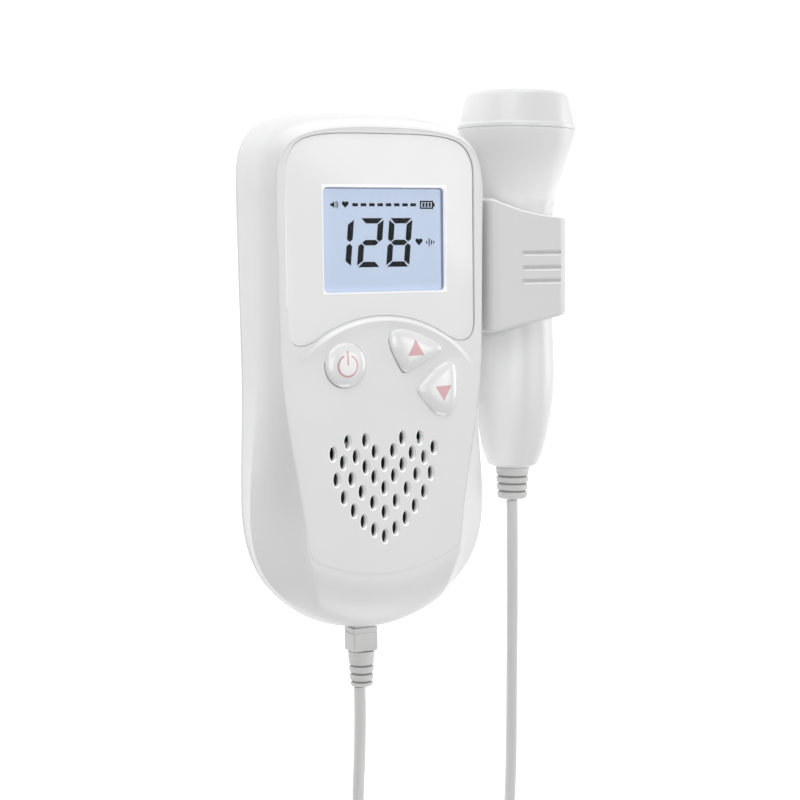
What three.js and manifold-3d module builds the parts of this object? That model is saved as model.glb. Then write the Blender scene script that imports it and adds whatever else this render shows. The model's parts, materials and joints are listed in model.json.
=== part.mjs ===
// A handheld fetal doppler monitor lying on its back, with its probe in the side holder.
// x runs to the right of the screen, y to the top of the case and z out of the screen, in millimetres.
// The origin is on the flat back and on the middle line of the case.
import * as THREE from "three";
import { mergeVertices } from "three/addons/utils/BufferGeometryUtils.js";
import Module from "manifold-3d";

const wasm = await Module();
wasm.setup();

// Fits shared by all pieces
const gap = 0.3;
const overrun = 1;

// Case
const bodyLength = 136.2;
const bodyWidth = 66.8;
const waistWidth = 65.4;
const bulgeWidth = 68.8;
const bodyDepth = 33;
const bulgeY = -33;
const seamHeight = 16.5;
const shoulderHeight = 24;
const wall = 2;
const bodyTop = 67.5;
const bodyBottom = bodyTop - bodyLength;

// The outlines of the case at its seam, its shoulder, its front crease and its back
const seamOutline = {
  top: bodyTop,
  half: bodyWidth / 2,
  corner: 20,
  waistHalf: waistWidth / 2,
  waistY: 1,
  bulge: bulgeWidth / 2 - 1,
  bulgeY,
  slopeShare: 0,
  lowerX: 17.6,
  lowerY: bodyBottom + 5.2,
  bottom: bodyBottom,
};
const shoulderOutline = {
  top: bodyTop - 1.1,
  half: bodyWidth / 2 - 1.4,
  corner: 19.5,
  waistHalf: waistWidth / 2 - 0.7,
  waistY: 3,
  bulge: bulgeWidth / 2,
  bulgeY: bulgeY - 3,
  slopeShare: 0,
  lowerX: 18.5,
  lowerY: bodyBottom + 6.3,
  bottom: bodyBottom + 1.3,
};
const creaseOutline = {
  top: bodyTop - 5,
  half: bodyWidth / 2 - 3.7,
  corner: 18,
  waistHalf: waistWidth / 2 - 3.5,
  waistY: 11,
  bulge: bulgeWidth / 2 - 10.7,
  bulgeY,
  slopeShare: 0.17,
  lowerX: 21.2,
  lowerY: bodyBottom + 21.7,
  bottom: bodyBottom + 16.2,
};
const backOutline = {
  top: bodyTop - 2.6,
  half: bodyWidth / 2 - 9,
  corner: 18,
  waistHalf: waistWidth / 2 - 8.3,
  waistY: 2,
  bulge: bulgeWidth / 2 - 9.2,
  bulgeY,
  slopeShare: 0,
  lowerX: 13.5,
  lowerY: bodyBottom + 9.6,
  bottom: bodyBottom + 4.6,
};

// How far the rear flank has drawn in from the seam to the back, and how high that is above the back
const flankShares = [
  [0.28, 0.7],
  [0.55, 0.4],
  [0.8, 0.15],
  [0.94, 0.04],
  [1, 0],
];
const innerFlankShares = flankShares.filter((_, i) => i % 2 === 0);

// Screen surround, window and display
const panelHalf = 26.7;
const panelTop = 60.9;
const panelCorner = 10.5;
const panelFoot = 12.8;
const archRadius = 35;
const archTop = 15.1;
const archEnd = 18.6;
const archBead = 1.4;
const archBeadRise = 0.5;
const panelRecess = 0.5;
const panelThick = 1.2;
const pocketFloor = 1.5;
const windowWidth = 35.3;
const windowHeight = 26.6;
const windowX = 1.05;
const windowY = 34.25;
const windowCorner = 1.2;
const glassWidth = 42;
const glassHeight = 34;
const glassThick = 2;
const glassDrop = 1;
const backlightHeight = 29;
const stripWidth = 38;
const stripDepth = 2.6;

// Buttons
const buttonRise = 1.8;
const buttonTravel = 0.6;
const buttonFlange = 1;
const buttonFlangeThick = 1;
const powerCentre = [-11.2, 2.4];
const powerRadius = 5.55;
const upCorners = [
  [1.3, 11.9],
  [17.8, 5.9],
  [5.5, -1],
];
const downCorners = [
  [20.6, 4],
  [8.3, -4.3],
  [19.6, -13],
];
const upCentre = [8.3, 5.6];
const downCentre = [16.2, -4.6];
const keyRound = 4;
const keyBulge = 1.2;
const keyReachShare = 1.6;
const domeWidth = 2.6;
const domeShare = 0.6;
const domeTurns = [90, 60, 30, 0];
const switchSide = 6;
const switchHeight = 3.4;
const plungerRadius = 1.5;
const plungerDepth = 1.6;

// Grille: two nested hearts of upright slots
const grilleHalf = 14.7;
const grilleTop = -16.9;
const grilleHeight = 25.3;
const slotWidth = 1.9;
const slotHeight = 3.9;
const slotShares = [
  [0.182, 0.123],
  [0.367, 0],
  [0.714, 0.006],
  [1, 0.117],
  [0.935, 0.381],
  [0.797, 0.57],
  [0.606, 0.71],
  [0.418, 0.83],
  [0.211, 0.925],
  [0.195, 0.382],
  [0.368, 0.272],
  [0.556, 0.16],
  [0.805, 0.211],
  [0.644, 0.385],
  [0.448, 0.524],
  [0.225, 0.643],
];
const middleSlotShares = [0.25, 0.5, 0.749, 1];

// Circuit board and what stands on it
const boardTop = 22.6;
const boardThick = 1.6;
const boardWidth = 57;
const boardUpper = 58;
const boardLower = -44;
const boardCorner = 6;
const boardTailWidth = 18;
const boardTail = -61;
const chipSide = 10;
const chipThick = 1.4;
const chipPlace = [0, -42.5];
const canWidth = 4.6;
const canLength = 11;
const canHeight = 3.4;
const canCorner = 2;
const canPlace = [14.5, -39];
const capacitorRadius = 4;
const capacitorHeight = 6;
const capacitorPlace = [-17, -38];

// Speaker
const speakerY = -29.6;
const speakerRadius = 16;
const speakerRim = 1.2;
const basketRadius = 9.6;
const basketWall = 0.8;
const coneRadius = 14.2;
const coneThroat = 4;
const coneThick = 0.6;
const coneDrop = 2;
const magnetRadius = 9;
const speakerCollar = 1.2;

// Battery bay
const bayHalf = 15.6;
const bayHead = 62;
const bayWall = 1.2;
const cellRadius = 7.25;
const cellLength = 49.2;
const cellNubRadius = 2.7;
const cellNub = 1;
const contactThick = 0.4;
const contactHeight = 11;
const contactSplit = 2;
const springWire = 0.4;
const springFoot = 4.6;
const springTip = 2.2;
const springTurns = 3;
const springLength = 4.5;
const bayLength = cellLength + springLength + 2 * contactThick + 5 * gap;
const bayFoot = bayHead - bayLength;
const doorHalf = 17.2;
const doorOverlap = 3.5;
const doorFoot = bayFoot - doorOverlap;
const doorThick = 1.6;
const doorInset = 0.25;
const doorLedge = 1.6;
const doorTongueWidth = 6;
const doorTongueX = 10;
const doorTongueLength = 3.2;
const doorTongueThick = 1;
const gripGrooves = 5;
const gripWidth = 16;
const gripPitch = 2.2;
const gripGroove = 1;
const gripDepth = 0.5;
const gripY = 46;

// Case screws and the posts that take them
const screwPlaces = [
  [-20.9, 54.2],
  [20.9, 54.2],
  [-21.8, -31],
  [21.8, -31],
];
const screwHead = 2.1;
const screwHeadThick = 1.6;
const screwRecess = 0.8;
const screwSlot = 0.6;
const screwShank = 1;
const screwLength = 14;
const screwSeat = 13.6;
const postRadius = 3.5;
const postBore = 2.5;

// Cord, its plug and the socket
const cordDiameter = 3.2;
const plugHeight = seamHeight;
const plugWidth = 7.3;
const plugDepth = 6.2;
const plugLength = 6.3;
const plugCorner = 0.7;
const plugCollar = 1.2;
const plugGroove = 0.3;
const tongueWidth = 6;
const tongueDepth = 4.4;
const tongueCorner = 0.35;
const tongueLength = 12;
const socketWall = 1.5;
const socketLength = 15;
const reliefLength = 9.5;
const reliefRadius = 3.3;
const reliefTip = 2.7;
const reliefGroove = 0.7;
const reliefGrooveWidth = 1;
const reliefRings = 3;

// Probe, along its own axis from its contact face
const probeX = 50.68;
const probeFaceY = 74.7;
const probeHeight = 16.9;
const probeLean = 1.2;
const probeLength = 104.1;
const capLength = 9.6;
const capFaceRadius = 13.2;
const capEdge = 2.4;
const capShoulder = 14.7;
const rimRadius = 16.45;
const rimBand = 0.9;
const capWall = 1.3;
const handleWall = 1.8;
// Distance from the contact face and radius, down the handle.
const handleProfile = [
  [11, 16.2],
  [14.7, 15],
  [19.4, 13.4],
  [24.2, 11.95],
  [29.2, 10.8],
  [35.2, 10.15],
  [44.2, 9.9],
  [53.2, 10],
  [63.2, 10.55],
  [71.2, 11.05],
  [78.2, 11.25],
  [84.7, 10.95],
  [90.2, 10.25],
  [95.2, 9.15],
  [99.7, 8],
  [102.8, 6.9],
];
const handleEnd = 6.1;
const tailHole = 2.6;
const crystalRadius = 9.4;
const crystalThick = 1;
const crystalSplit = 1;
const backingRadius = 12.4;
const backingThick = 5;
const probeBoardWidth = 15;
const probeBoardLength = 42;
const probeBoardThick = 1.2;
const probeBoardFrom = 30;
const probeReliefLength = 8.5;
const probeReliefRadius = 4.6;
const probeReliefTip = 3.5;

// Probe holder
const holderClear = 11.7;
const holderWall = 2;
const holderBend = 5;
const holderReach = 59.6;
const holderTop = 45.8;
const holderBottom = 9;
const holderTipTop = 40.2;
const holderTipBottom = 13.6;
const holderCorner = 1.6;
const holderBase = 2.2;
const holderFlare = 3;
const holderSlack = 0.3;
const holderKeyWidth = 7;
const holderKeyLength = 16;
const holderKeyDepth = 1.6;
const holderGrooves = [30.4, 26.4, 22.8];
const holderGrooveFrom = 43.6;
const holderGrooveTo = 56;
const holderGrooveWidth = 1.4;
const holderGrooveDepth = 0.5;

// Stored cord
const coilMiddle = 17.5;
const coilPitch = 3.75;
const coilTurns = 7.5;
const coilX = 30.9;
const coilY = -157;
const coilLift = 0.1;
const coilSteps = 24;
const coilSides = 6;
const tieWidth = 7;
const tieThick = 0.5;

// Counts
const roundSides = 24;
const rodSides = 16;
const smallSides = 10;
const slotSides = 8;
const keyCurveSteps = 4;
const cordSides = 8;

// Finishes
function plastic(color, roughness) {
  return new THREE.MeshStandardMaterial({ color, roughness, metalness: 0 });
}
function metal(color, roughness) {
  return new THREE.MeshStandardMaterial({ color, roughness, metalness: 1 });
}
const whiteCase = plastic(0xf2f2f2, 0.35);
const glossWhite = plastic(0xf6f6f6, 0.12);
const clipWhite = plastic(0xeeeeee, 0.4);
const cordWhite = plastic(0xf0f0ee, 0.5);
const clearPlastic = new THREE.MeshPhysicalMaterial({
  color: 0xf7f9fb,
  roughness: 0.05,
  metalness: 0,
  transmission: 0.9,
});
const displayBlue = plastic(0xc2d1e9, 0.25);
const boardGreen = plastic(0x1f6b43, 0.5);
const blackPlastic = plastic(0x1b1b1d, 0.5);
const greyPlastic = plastic(0x8a8c90, 0.5);
const steel = metal(0xb9bcc0, 0.35);
const nickel = metal(0xd2d0c8, 0.25);
const ceramic = plastic(0xd9cfae, 0.4);
const foam = plastic(0x55585c, 0.9);
const paper = plastic(0x3a3a3c, 0.8);
const cellSleeve = plastic(0x2f5fa8, 0.35);

// Solids from geometry, and back

function solidOf(geometry) {
  const bare = geometry.clone();
  bare.deleteAttribute("normal");
  bare.deleteAttribute("uv");
  const merged = mergeVertices(bare);
  return new wasm.Manifold(
    new wasm.Mesh({
      numProp: 3,
      vertProperties: new Float32Array(merged.attributes.position.array),
      triVerts: new Uint32Array(merged.index.array),
    }),
  );
}

function geometryOf(solid) {
  const mesh = solid.getMesh();
  const geometry = new THREE.BufferGeometry();
  const places = new Float32Array(mesh.vertProperties);
  geometry.setAttribute("position", new THREE.BufferAttribute(places, 3));
  geometry.setIndex(new THREE.BufferAttribute(new Uint32Array(mesh.triVerts), 1));
  geometry.computeVertexNormals();
  return geometry;
}

function joined(geometries) {
  return geometries.map(solidOf).reduce((all, one) => all.add(one));
}

function cutBy(solid, geometries) {
  return geometries.length ? solid.subtract(joined(geometries)) : solid;
}

// Plain shapes

function boxBetween(x0, x1, y0, y1, z0, z1) {
  const box = new THREE.BoxGeometry(x1 - x0, y1 - y0, z1 - z0);
  return box.translate((x0 + x1) / 2, (y0 + y1) / 2, (z0 + z1) / 2);
}

function boxAround(x, y, width, length, z0, z1) {
  return boxBetween(x - width / 2, x + width / 2, y - length / 2, y + length / 2, z0, z1);
}

function rodUp(radius, z0, z1, x, y, sides) {
  const rod = new THREE.CylinderGeometry(radius, radius, z1 - z0, sides);
  return rod.rotateX(Math.PI / 2).translate(x, y, (z0 + z1) / 2);
}

function plateBetween(shape, z0, z1, curveSegments = 8) {
  const depth = z1 - z0;
  const plate = new THREE.ExtrudeGeometry(shape, { depth, bevelEnabled: false, curveSegments });
  return plate.translate(0, 0, z0);
}

// Turns a profile of [radius, height] pairs about the z axis.
// It starts and ends on the axis, or closes on itself.
function turned(profile, sides, closed = false) {
  const points = profile.map(([radius, height]) => new THREE.Vector2(radius, height));
  if (closed) points.push(points[0].clone());
  return new THREE.LatheGeometry(points, sides).rotateX(Math.PI / 2);
}

function roundedShape(width, height, radius, x = 0, y = 0) {
  const [left, right, low, high] = [x - width / 2, x + width / 2, y - height / 2, y + height / 2];
  const shape = new THREE.Shape();
  shape.moveTo(left + radius, low);
  shape.lineTo(right - radius, low);
  shape.absarc(right - radius, low + radius, radius, -Math.PI / 2, 0);
  shape.lineTo(right, high - radius);
  shape.absarc(right - radius, high - radius, radius, 0, Math.PI / 2);
  shape.lineTo(left + radius, high);
  shape.absarc(left + radius, high - radius, radius, Math.PI / 2, Math.PI);
  shape.lineTo(left, low + radius);
  shape.absarc(left + radius, low + radius, radius, Math.PI, 1.5 * Math.PI);
  return shape;
}

// Case outlines: each is a ring of points from the top, down the right side, and up the left side.
// Every outline has as many points on each stretch, so rings can be blended point by point.

const stretchCounts = [7, 2, 4, 6, 4];

function outlineStretches(o) {
  const cornerY = o.top - o.corner;
  const waistRun = o.waistY - o.bulgeY;
  const lowerRun = o.bulgeY - o.lowerY;
  const at = (x, y) => new THREE.Vector2(x, y);
  return [
    [at(0, o.top), at(0.88 * o.half, o.top), at(o.half, o.top - 0.2 * o.corner), at(o.half, cornerY)],
    [
      at(o.half, cornerY),
      at((2 * o.half + o.waistHalf) / 3, (2 * cornerY + o.waistY) / 3),
      at((o.half + 2 * o.waistHalf) / 3, (cornerY + 2 * o.waistY) / 3),
      at(o.waistHalf, o.waistY),
    ],
    [
      at(o.waistHalf, o.waistY),
      at(o.waistHalf, o.waistY - 0.4 * waistRun),
      at(o.bulge + o.slopeShare * 0.35 * waistRun, o.bulgeY + 0.35 * waistRun),
      at(o.bulge, o.bulgeY),
    ],
    [
      at(o.bulge, o.bulgeY),
      at(o.bulge - o.slopeShare * 0.53 * lowerRun, o.bulgeY - 0.53 * lowerRun),
      at(o.lowerX + 0.61 * (o.bulge - o.lowerX), o.lowerY + 0.21 * lowerRun),
      at(o.lowerX, o.lowerY),
    ],
    [
      at(o.lowerX, o.lowerY),
      at(0.68 * o.lowerX, o.bottom + 0.35 * (o.lowerY - o.bottom)),
      at(0.34 * o.lowerX, o.bottom),
      at(0, o.bottom),
    ],
  ];
}

// The right half of an outline, from the top middle to the bottom middle.
function halfRing(outline) {
  const points = [];
  outlineStretches(outline).forEach((stretch, i) => {
    const curve = new THREE.CubicBezierCurve(...stretch);
    const wanted = curve.getPoints(stretchCounts[i]);
    points.push(...wanted.slice(i === 0 ? 0 : 1));
  });
  return points;
}

// How roundly each point of the half ring turns from the front to the shoulder:
// 0 is a flat facet and 1 a quarter round.
const roundnessShares = [
  ...Array(stretchCounts[0] + 1).fill(0.5),
  ...Array(stretchCounts[1]).fill(0.2),
  ...Array(stretchCounts[2]).fill(0.05),
  0.05,
  0.08,
  0.15,
  0.35,
  0.7,
  ...Array(stretchCounts[4] + 1).fill(1),
];

function mirrored(half) {
  const left = half.slice(1, -1).reverse();
  return [...half, ...left.map((p) => new THREE.Vector2(-p.x, p.y))];
}

// Moves each point of a ring that runs clockwise inward by a distance.
function insetRing(ring, distance) {
  const count = ring.length;
  return ring.map((point, i) => {
    const along = ring[(i + 1) % count].clone().sub(ring[(i + count - 1) % count]).normalize();
    return new THREE.Vector2(point.x + along.y * distance, point.y - along.x * distance);
  });
}

// A closed solid through clockwise rings of equal count, listed from the top down.
function loftOf(levels) {
  const count = levels[0].ring.length;
  const places = [];
  const faces = [];
  levels.forEach(({ ring, z }) => ring.forEach((p) => places.push(p.x, p.y, z)));
  for (let level = 0; level + 1 < levels.length; level++)
    for (let i = 0; i < count; i++) {
      const next = (i + 1) % count;
      const [a, b] = [level * count + i, level * count + next];
      const [c, d] = [a + count, b + count];
      faces.push(a, b, c, b, d, c);
    }
  const last = (levels.length - 1) * count;
  const topCap = THREE.ShapeUtils.triangulateShape(levels[0].ring, []);
  const footCap = THREE.ShapeUtils.triangulateShape(levels[levels.length - 1].ring, []);
  topCap.forEach(([a, b, c]) => faces.push(a, b, c));
  footCap.forEach(([a, b, c]) => faces.push(last + a, last + c, last + b));
  const geometry = new THREE.BufferGeometry();
  geometry.setAttribute("position", new THREE.Float32BufferAttribute(places, 3));
  geometry.setIndex(faces);
  return geometry;
}

const creaseRing = halfRing(creaseOutline);
const shoulderRing = halfRing(shoulderOutline);
const seamRing = halfRing(seamOutline);
const backRing = halfRing(backOutline);
const outerTurns = [0, 22.5, 45, 67.5, 90];
const innerTurns = [0, 45, 90];

function blendedRing(from, to, shareAt) {
  return mirrored(from.map((p, i) => p.clone().lerp(to[i], shareAt(i))));
}

// The levels of the front half from the front face to the seam, moved inward by a wall.
function frontLevels(inset, seamZ, turns) {
  const levels = turns.map((degrees) => {
    const turn = THREE.MathUtils.degToRad(degrees);
    const down = 1 - Math.cos(turn);
    const out = Math.sin(turn);
    const share = (i) => THREE.MathUtils.lerp(down, out, roundnessShares[i]);
    const ring = blendedRing(creaseRing, shoulderRing, share);
    const height = THREE.MathUtils.lerp(bodyDepth, shoulderHeight, down);
    return { ring: insetRing(ring, inset), z: height - inset * (1 - down) };
  });
  const halfway = (shoulderHeight + seamHeight) / 2;
  const bowedShare = 0.65;
  const bowed = blendedRing(shoulderRing, seamRing, () => bowedShare);
  levels.push({ ring: insetRing(bowed, inset), z: halfway });
  levels.push({ ring: insetRing(mirrored(seamRing), inset), z: seamZ });
  return levels;
}

// The levels of the rear half from the seam to the flat back, moved inward by a wall.
function rearLevels(inset, seamZ, shares) {
  const levels = [{ ring: insetRing(mirrored(seamRing), inset), z: seamZ }];
  shares.forEach(([inwards, up]) => {
    const ring = blendedRing(seamRing, backRing, () => inwards);
    levels.push({ ring: insetRing(ring, inset), z: THREE.MathUtils.lerp(inset, seamHeight, up) });
  });
  return levels;
}

// Screen surround: straight sides, round upper corners and a foot that follows the arch over the keys.
const archY = archTop - archRadius;
function panelShape(grow) {
  const side = panelHalf + grow;
  const top = panelTop + grow;
  const foot = panelFoot;
  const corner = panelCorner;
  const radius = archRadius - grow;
  const end = archEnd;
  const footY = archY + Math.sqrt(radius ** 2 - end ** 2);
  const tilt = end / Math.sqrt(radius ** 2 - end ** 2);
  const lead = (side - end) / 2;
  const angle = Math.atan2(footY - archY, end);
  const shape = new THREE.Shape();
  shape.moveTo(0, top);
  shape.bezierCurveTo(side - corner, top, side - corner / 3, top, side - corner / 9, top - corner / 2);
  shape.quadraticCurveTo(side, top - (2 * corner) / 3, side, top - corner);
  shape.lineTo(side, foot);
  shape.bezierCurveTo(side, footY - lead * tilt, end + lead, footY - lead * tilt, end, footY);
  shape.absarc(0, archY, radius, angle, Math.PI - angle);
  shape.bezierCurveTo(-end - lead, footY - lead * tilt, -side, footY - lead * tilt, -side, foot);
  shape.lineTo(-side, top - corner);
  shape.quadraticCurveTo(-side, top - (2 * corner) / 3, -side + corner / 9, top - corner / 2);
  shape.bezierCurveTo(-side + corner / 3, top, -side + corner, top, 0, top);
  return shape;
}
const panelSurface = bodyDepth - panelRecess;
const panelUnder = panelSurface - panelThick;
const pocketZ = panelUnder - gap;
const glassTop = pocketZ;
const glassUnder = glassTop - glassThick;
const glassY = windowY - glassDrop;

function windowShape(grow) {
  const [width, height] = [windowWidth + 2 * grow, windowHeight + 2 * grow];
  return roundedShape(width, height, windowCorner + grow, windowX, windowY);
}

// Keys: a rounded triangle with bowed sides, grown by a distance.
function keyShape(corners, grow) {
  const middle = corners.reduce((sum, [x, y]) => sum.add(new THREE.Vector2(x, y)), new THREE.Vector2());
  middle.divideScalar(corners.length);
  const points = corners.map(([x, y]) => {
    const away = new THREE.Vector2(x, y).sub(middle);
    return away.setLength(away.length() + keyReachShare * grow).add(middle);
  });
  const round = keyRound + grow / 2;
  const shape = new THREE.Shape();
  points.forEach((corner, i) => {
    const before = points[(i + 2) % 3];
    const after = points[(i + 1) % 3];
    const enter = corner.clone().add(before.clone().sub(corner).setLength(round));
    const leave = corner.clone().add(after.clone().sub(corner).setLength(round));
    if (i === 0) shape.moveTo(enter.x, enter.y);
    shape.quadraticCurveTo(corner.x, corner.y, leave.x, leave.y);
    const next = after.clone().add(corner.clone().sub(after).setLength(round));
    const bow = leave.clone().add(next).divideScalar(2);
    bow.add(bow.clone().sub(middle).setLength(keyBulge));
    shape.quadraticCurveTo(bow.x, bow.y, next.x, next.y);
  });
  return shape;
}

function circleShape(radius, x, y) {
  return new THREE.Shape().absarc(x, y, radius, 0, 2 * Math.PI);
}

const keys = [
  { name: "power", centre: powerCentre, shape: (grow) => circleShape(powerRadius + grow, ...powerCentre) },
  { name: "up", centre: upCentre, shape: (grow) => keyShape(upCorners, grow) },
  { name: "down", centre: downCentre, shape: (grow) => keyShape(downCorners, grow) },
];

// Grille slots, each an upright ellipse through the front wall.
function grilleCutters() {
  const middles = [];
  slotShares.forEach(([across, down]) => {
    const y = grilleTop - down * grilleHeight;
    middles.push([across * grilleHalf, y], [-across * grilleHalf, y]);
  });
  middleSlotShares.forEach((down) => middles.push([0, grilleTop - down * grilleHeight]));
  return middles.map(([x, y]) => {
    const slot = new THREE.CylinderGeometry(1, 1, wall + 2 * overrun, slotSides);
    slot.rotateX(Math.PI / 2).scale(slotWidth / 2, slotHeight / 2, 1);
    return slot.translate(x, y, bodyDepth - wall / 2);
  });
}

// Heights inside the case
const boardUnder = boardTop - boardThick;
const innerFront = bodyDepth - wall;
const flangeTop = innerFront - gap;
const flangeUnder = flangeTop - buttonFlangeThick;
const switchFoot = boardTop + gap;
const switchTop = switchFoot + switchHeight;
const plungerTop = flangeUnder - gap;
const doorTop = doorInset + doorThick;
const ledgeZ = doorTop + gap;
const tongueTop = ledgeZ + doorTongueThick;
const bayRoof = tongueTop + gap + 2 * cellRadius + gap;
const cellHeight = bayRoof - gap - cellRadius;
const socketFoot = bodyBottom + 2 * wall + gap;

const unit = new THREE.Group();
const probe = new THREE.Group();
const probeTilt = new THREE.Group();

function part(group, name, shape, material) {
  const geometry = shape instanceof THREE.BufferGeometry ? shape : geometryOf(shape);
  const mesh = new THREE.Mesh(geometry, material);
  mesh.name = name;
  group.add(mesh);
  return mesh;
}

// Plug hole, shared by both shells
function plugHole() {
  const y0 = bodyBottom - overrun;
  const y1 = bodyBottom + 3 * wall;
  const halfWidth = tongueWidth / 2 + gap;
  const halfDepth = tongueDepth / 2 + gap;
  return boxBetween(-halfWidth, halfWidth, y0, y1, plugHeight - halfDepth, plugHeight + halfDepth);
}

// Holder key slot in the right side, shared by both shells
const holderY = (holderTop + holderBottom) / 2;
function keySlot() {
  const middle = seamOutline.half - wall / 2;
  const width = wall + 4 * overrun;
  const length = holderKeyLength + 2 * gap;
  const halfDepth = holderKeyWidth / 2 + gap;
  return boxAround(middle, holderY, width, length, seamHeight - halfDepth, seamHeight + halfDepth);
}

// Front shell
function frontShell() {
  const seamZ = seamHeight + gap / 2;
  const outer = solidOf(loftOf(frontLevels(0, seamZ, outerTurns)));
  const inner = solidOf(loftOf(frontLevels(wall, seamZ - overrun, innerTurns)));
  let shell = outer.subtract(inner);
  const pad = plateBetween(panelShape(pocketFloor), pocketZ - pocketFloor, innerFront + overrun / 2);
  const collar = turned(
    [
      [speakerRadius + gap, boardTop + 4 * gap],
      [speakerRadius + gap + speakerCollar, boardTop + 4 * gap],
      [speakerRadius + gap + speakerCollar, innerFront + overrun / 2],
      [speakerRadius + gap, innerFront + overrun / 2],
    ],
    roundSides,
    true,
  ).translate(0, speakerY, 0);
  const posts = screwPlaces.map(([x, y]) =>
    rodUp(postRadius, boardTop + gap, innerFront + overrun / 2, x, y, rodSides),
  );
  const insideSolid = solidOf(loftOf(frontLevels(wall / 2, seamZ, innerTurns)));
  shell = shell.add(joined([pad, collar, ...posts]).intersect(insideSolid));
  const bead = new THREE.Shape();
  const beadAngle = Math.PI / 2 - Math.asin(archEnd / archRadius);
  bead.absarc(0, archY, archRadius, beadAngle, Math.PI - beadAngle);
  bead.absarc(0, archY, archRadius - archBead, Math.PI - beadAngle, beadAngle, true);
  shell = shell.add(solidOf(plateBetween(bead, bodyDepth - wall / 2, bodyDepth + archBeadRise, 24)));
  const bores = screwPlaces.map(([x, y]) =>
    rodUp(screwShank + gap, boardTop - overrun, innerFront - wall, x, y, smallSides),
  );
  const keyHoles = keys.map(({ shape }) =>
    plateBetween(shape(gap), innerFront - overrun, bodyDepth + overrun, keyCurveSteps),
  );
  const glassHole = boxAround(
    0,
    glassY,
    glassWidth + 2 * gap,
    glassHeight + 2 * gap,
    pocketZ - pocketFloor - overrun,
    bodyDepth,
  );
  return cutBy(shell, [
    plateBetween(panelShape(gap), pocketZ, bodyDepth + overrun),
    glassHole,
    plugHole(),
    keySlot(),
    ...bores,
    ...keyHoles,
    ...grilleCutters(),
  ]);
}

// The recess that the battery door slides in, open at the top end of the case.
function doorShape(grow) {
  const shape = new THREE.Shape();
  const head = bodyTop + overrun;
  shape.moveTo(-doorHalf - grow, doorFoot - grow);
  shape.lineTo(doorHalf + grow, doorFoot - grow);
  shape.lineTo(doorHalf + grow, head + grow);
  shape.lineTo(-doorHalf - grow, head + grow);
  return shape;
}
const tongueFoot = doorFoot - doorTongueLength;

// Rear shell, with the battery bay, the screw posts and the recess of the door
function rearShell() {
  const seamZ = seamHeight - gap / 2;
  const outer = solidOf(loftOf(rearLevels(0, seamZ, flankShares)));
  const inner = solidOf(loftOf(rearLevels(wall, seamZ + overrun, innerFlankShares)));
  const shell = outer.subtract(inner);
  const bayOuter = boxBetween(
    -bayHalf - bayWall,
    bayHalf + bayWall,
    bayFoot - bayWall,
    bayHead + bayWall,
    wall / 2,
    bayRoof + bayWall,
  );
  const ledge = boxBetween(
    -doorHalf - wall,
    doorHalf + wall,
    tongueFoot - wall,
    bodyTop,
    wall / 2,
    ledgeZ + doorLedge,
  );
  const postTop = boardUnder - gap;
  const posts = screwPlaces.map(([x, y]) => rodUp(postRadius, wall / 2, postTop, x, y, rodSides));
  const within = solidOf(loftOf(rearLevels(0, postTop + overrun, flankShares)));
  const inside = joined([bayOuter, ledge, ...posts]).intersect(within);
  const counterbores = screwPlaces.map(([x, y]) => rodUp(postBore, -overrun, screwSeat, x, y, rodSides));
  const bores = screwPlaces.map(([x, y]) => rodUp(screwShank + gap, screwSeat, boardTop, x, y, smallSides));
  const tongueSlots = [-1, 1].map((side) =>
    boxBetween(
      side * doorTongueX - doorTongueWidth / 2 - gap,
      side * doorTongueX + doorTongueWidth / 2 + gap,
      tongueFoot - gap,
      bayFoot + overrun,
      wall,
      tongueTop + gap,
    ),
  );
  const cavity = boxBetween(-bayHalf, bayHalf, bayFoot, bayHead, -overrun, bayRoof);
  return cutBy(shell.add(inside), [
    plateBetween(doorShape(gap), -overrun, ledgeZ),
    cavity,
    plugHole(),
    keySlot(),
    ...counterbores,
    ...bores,
    ...tongueSlots,
  ]);
}

// Battery door: a plate that ends flush with the case, two tongues under its foot and grip grooves
function batteryDoor() {
  const slab = solidOf(plateBetween(doorShape(0), doorInset, doorTop));
  const trimmed = slab.intersect(solidOf(loftOf(rearLevels(0, seamHeight, flankShares))));
  const tongues = [-1, 1].map((side) =>
    boxBetween(
      side * doorTongueX - doorTongueWidth / 2,
      side * doorTongueX + doorTongueWidth / 2,
      tongueFoot,
      bayFoot + overrun / 2,
      ledgeZ,
      tongueTop,
    ),
  );
  const stems = [-1, 1].map((side) =>
    boxBetween(
      side * doorTongueX - doorTongueWidth / 2,
      side * doorTongueX + doorTongueWidth / 2,
      doorFoot + gap,
      bayFoot + overrun / 2,
      doorTop - doorThick / 2,
      tongueTop,
    ),
  );
  const grooves = [];
  for (let i = 0; i < gripGrooves; i++) {
    const y = gripY + i * gripPitch;
    grooves.push(boxAround(0, y, gripWidth, gripGroove, -overrun, doorInset + gripDepth));
  }
  return cutBy(trimmed.add(joined([...tongues, ...stems])), grooves);
}

part(unit, "front_shell", frontShell(), whiteCase);
part(unit, "rear_shell", rearShell(), whiteCase);
part(unit, "battery_door", batteryDoor(), whiteCase);

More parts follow.
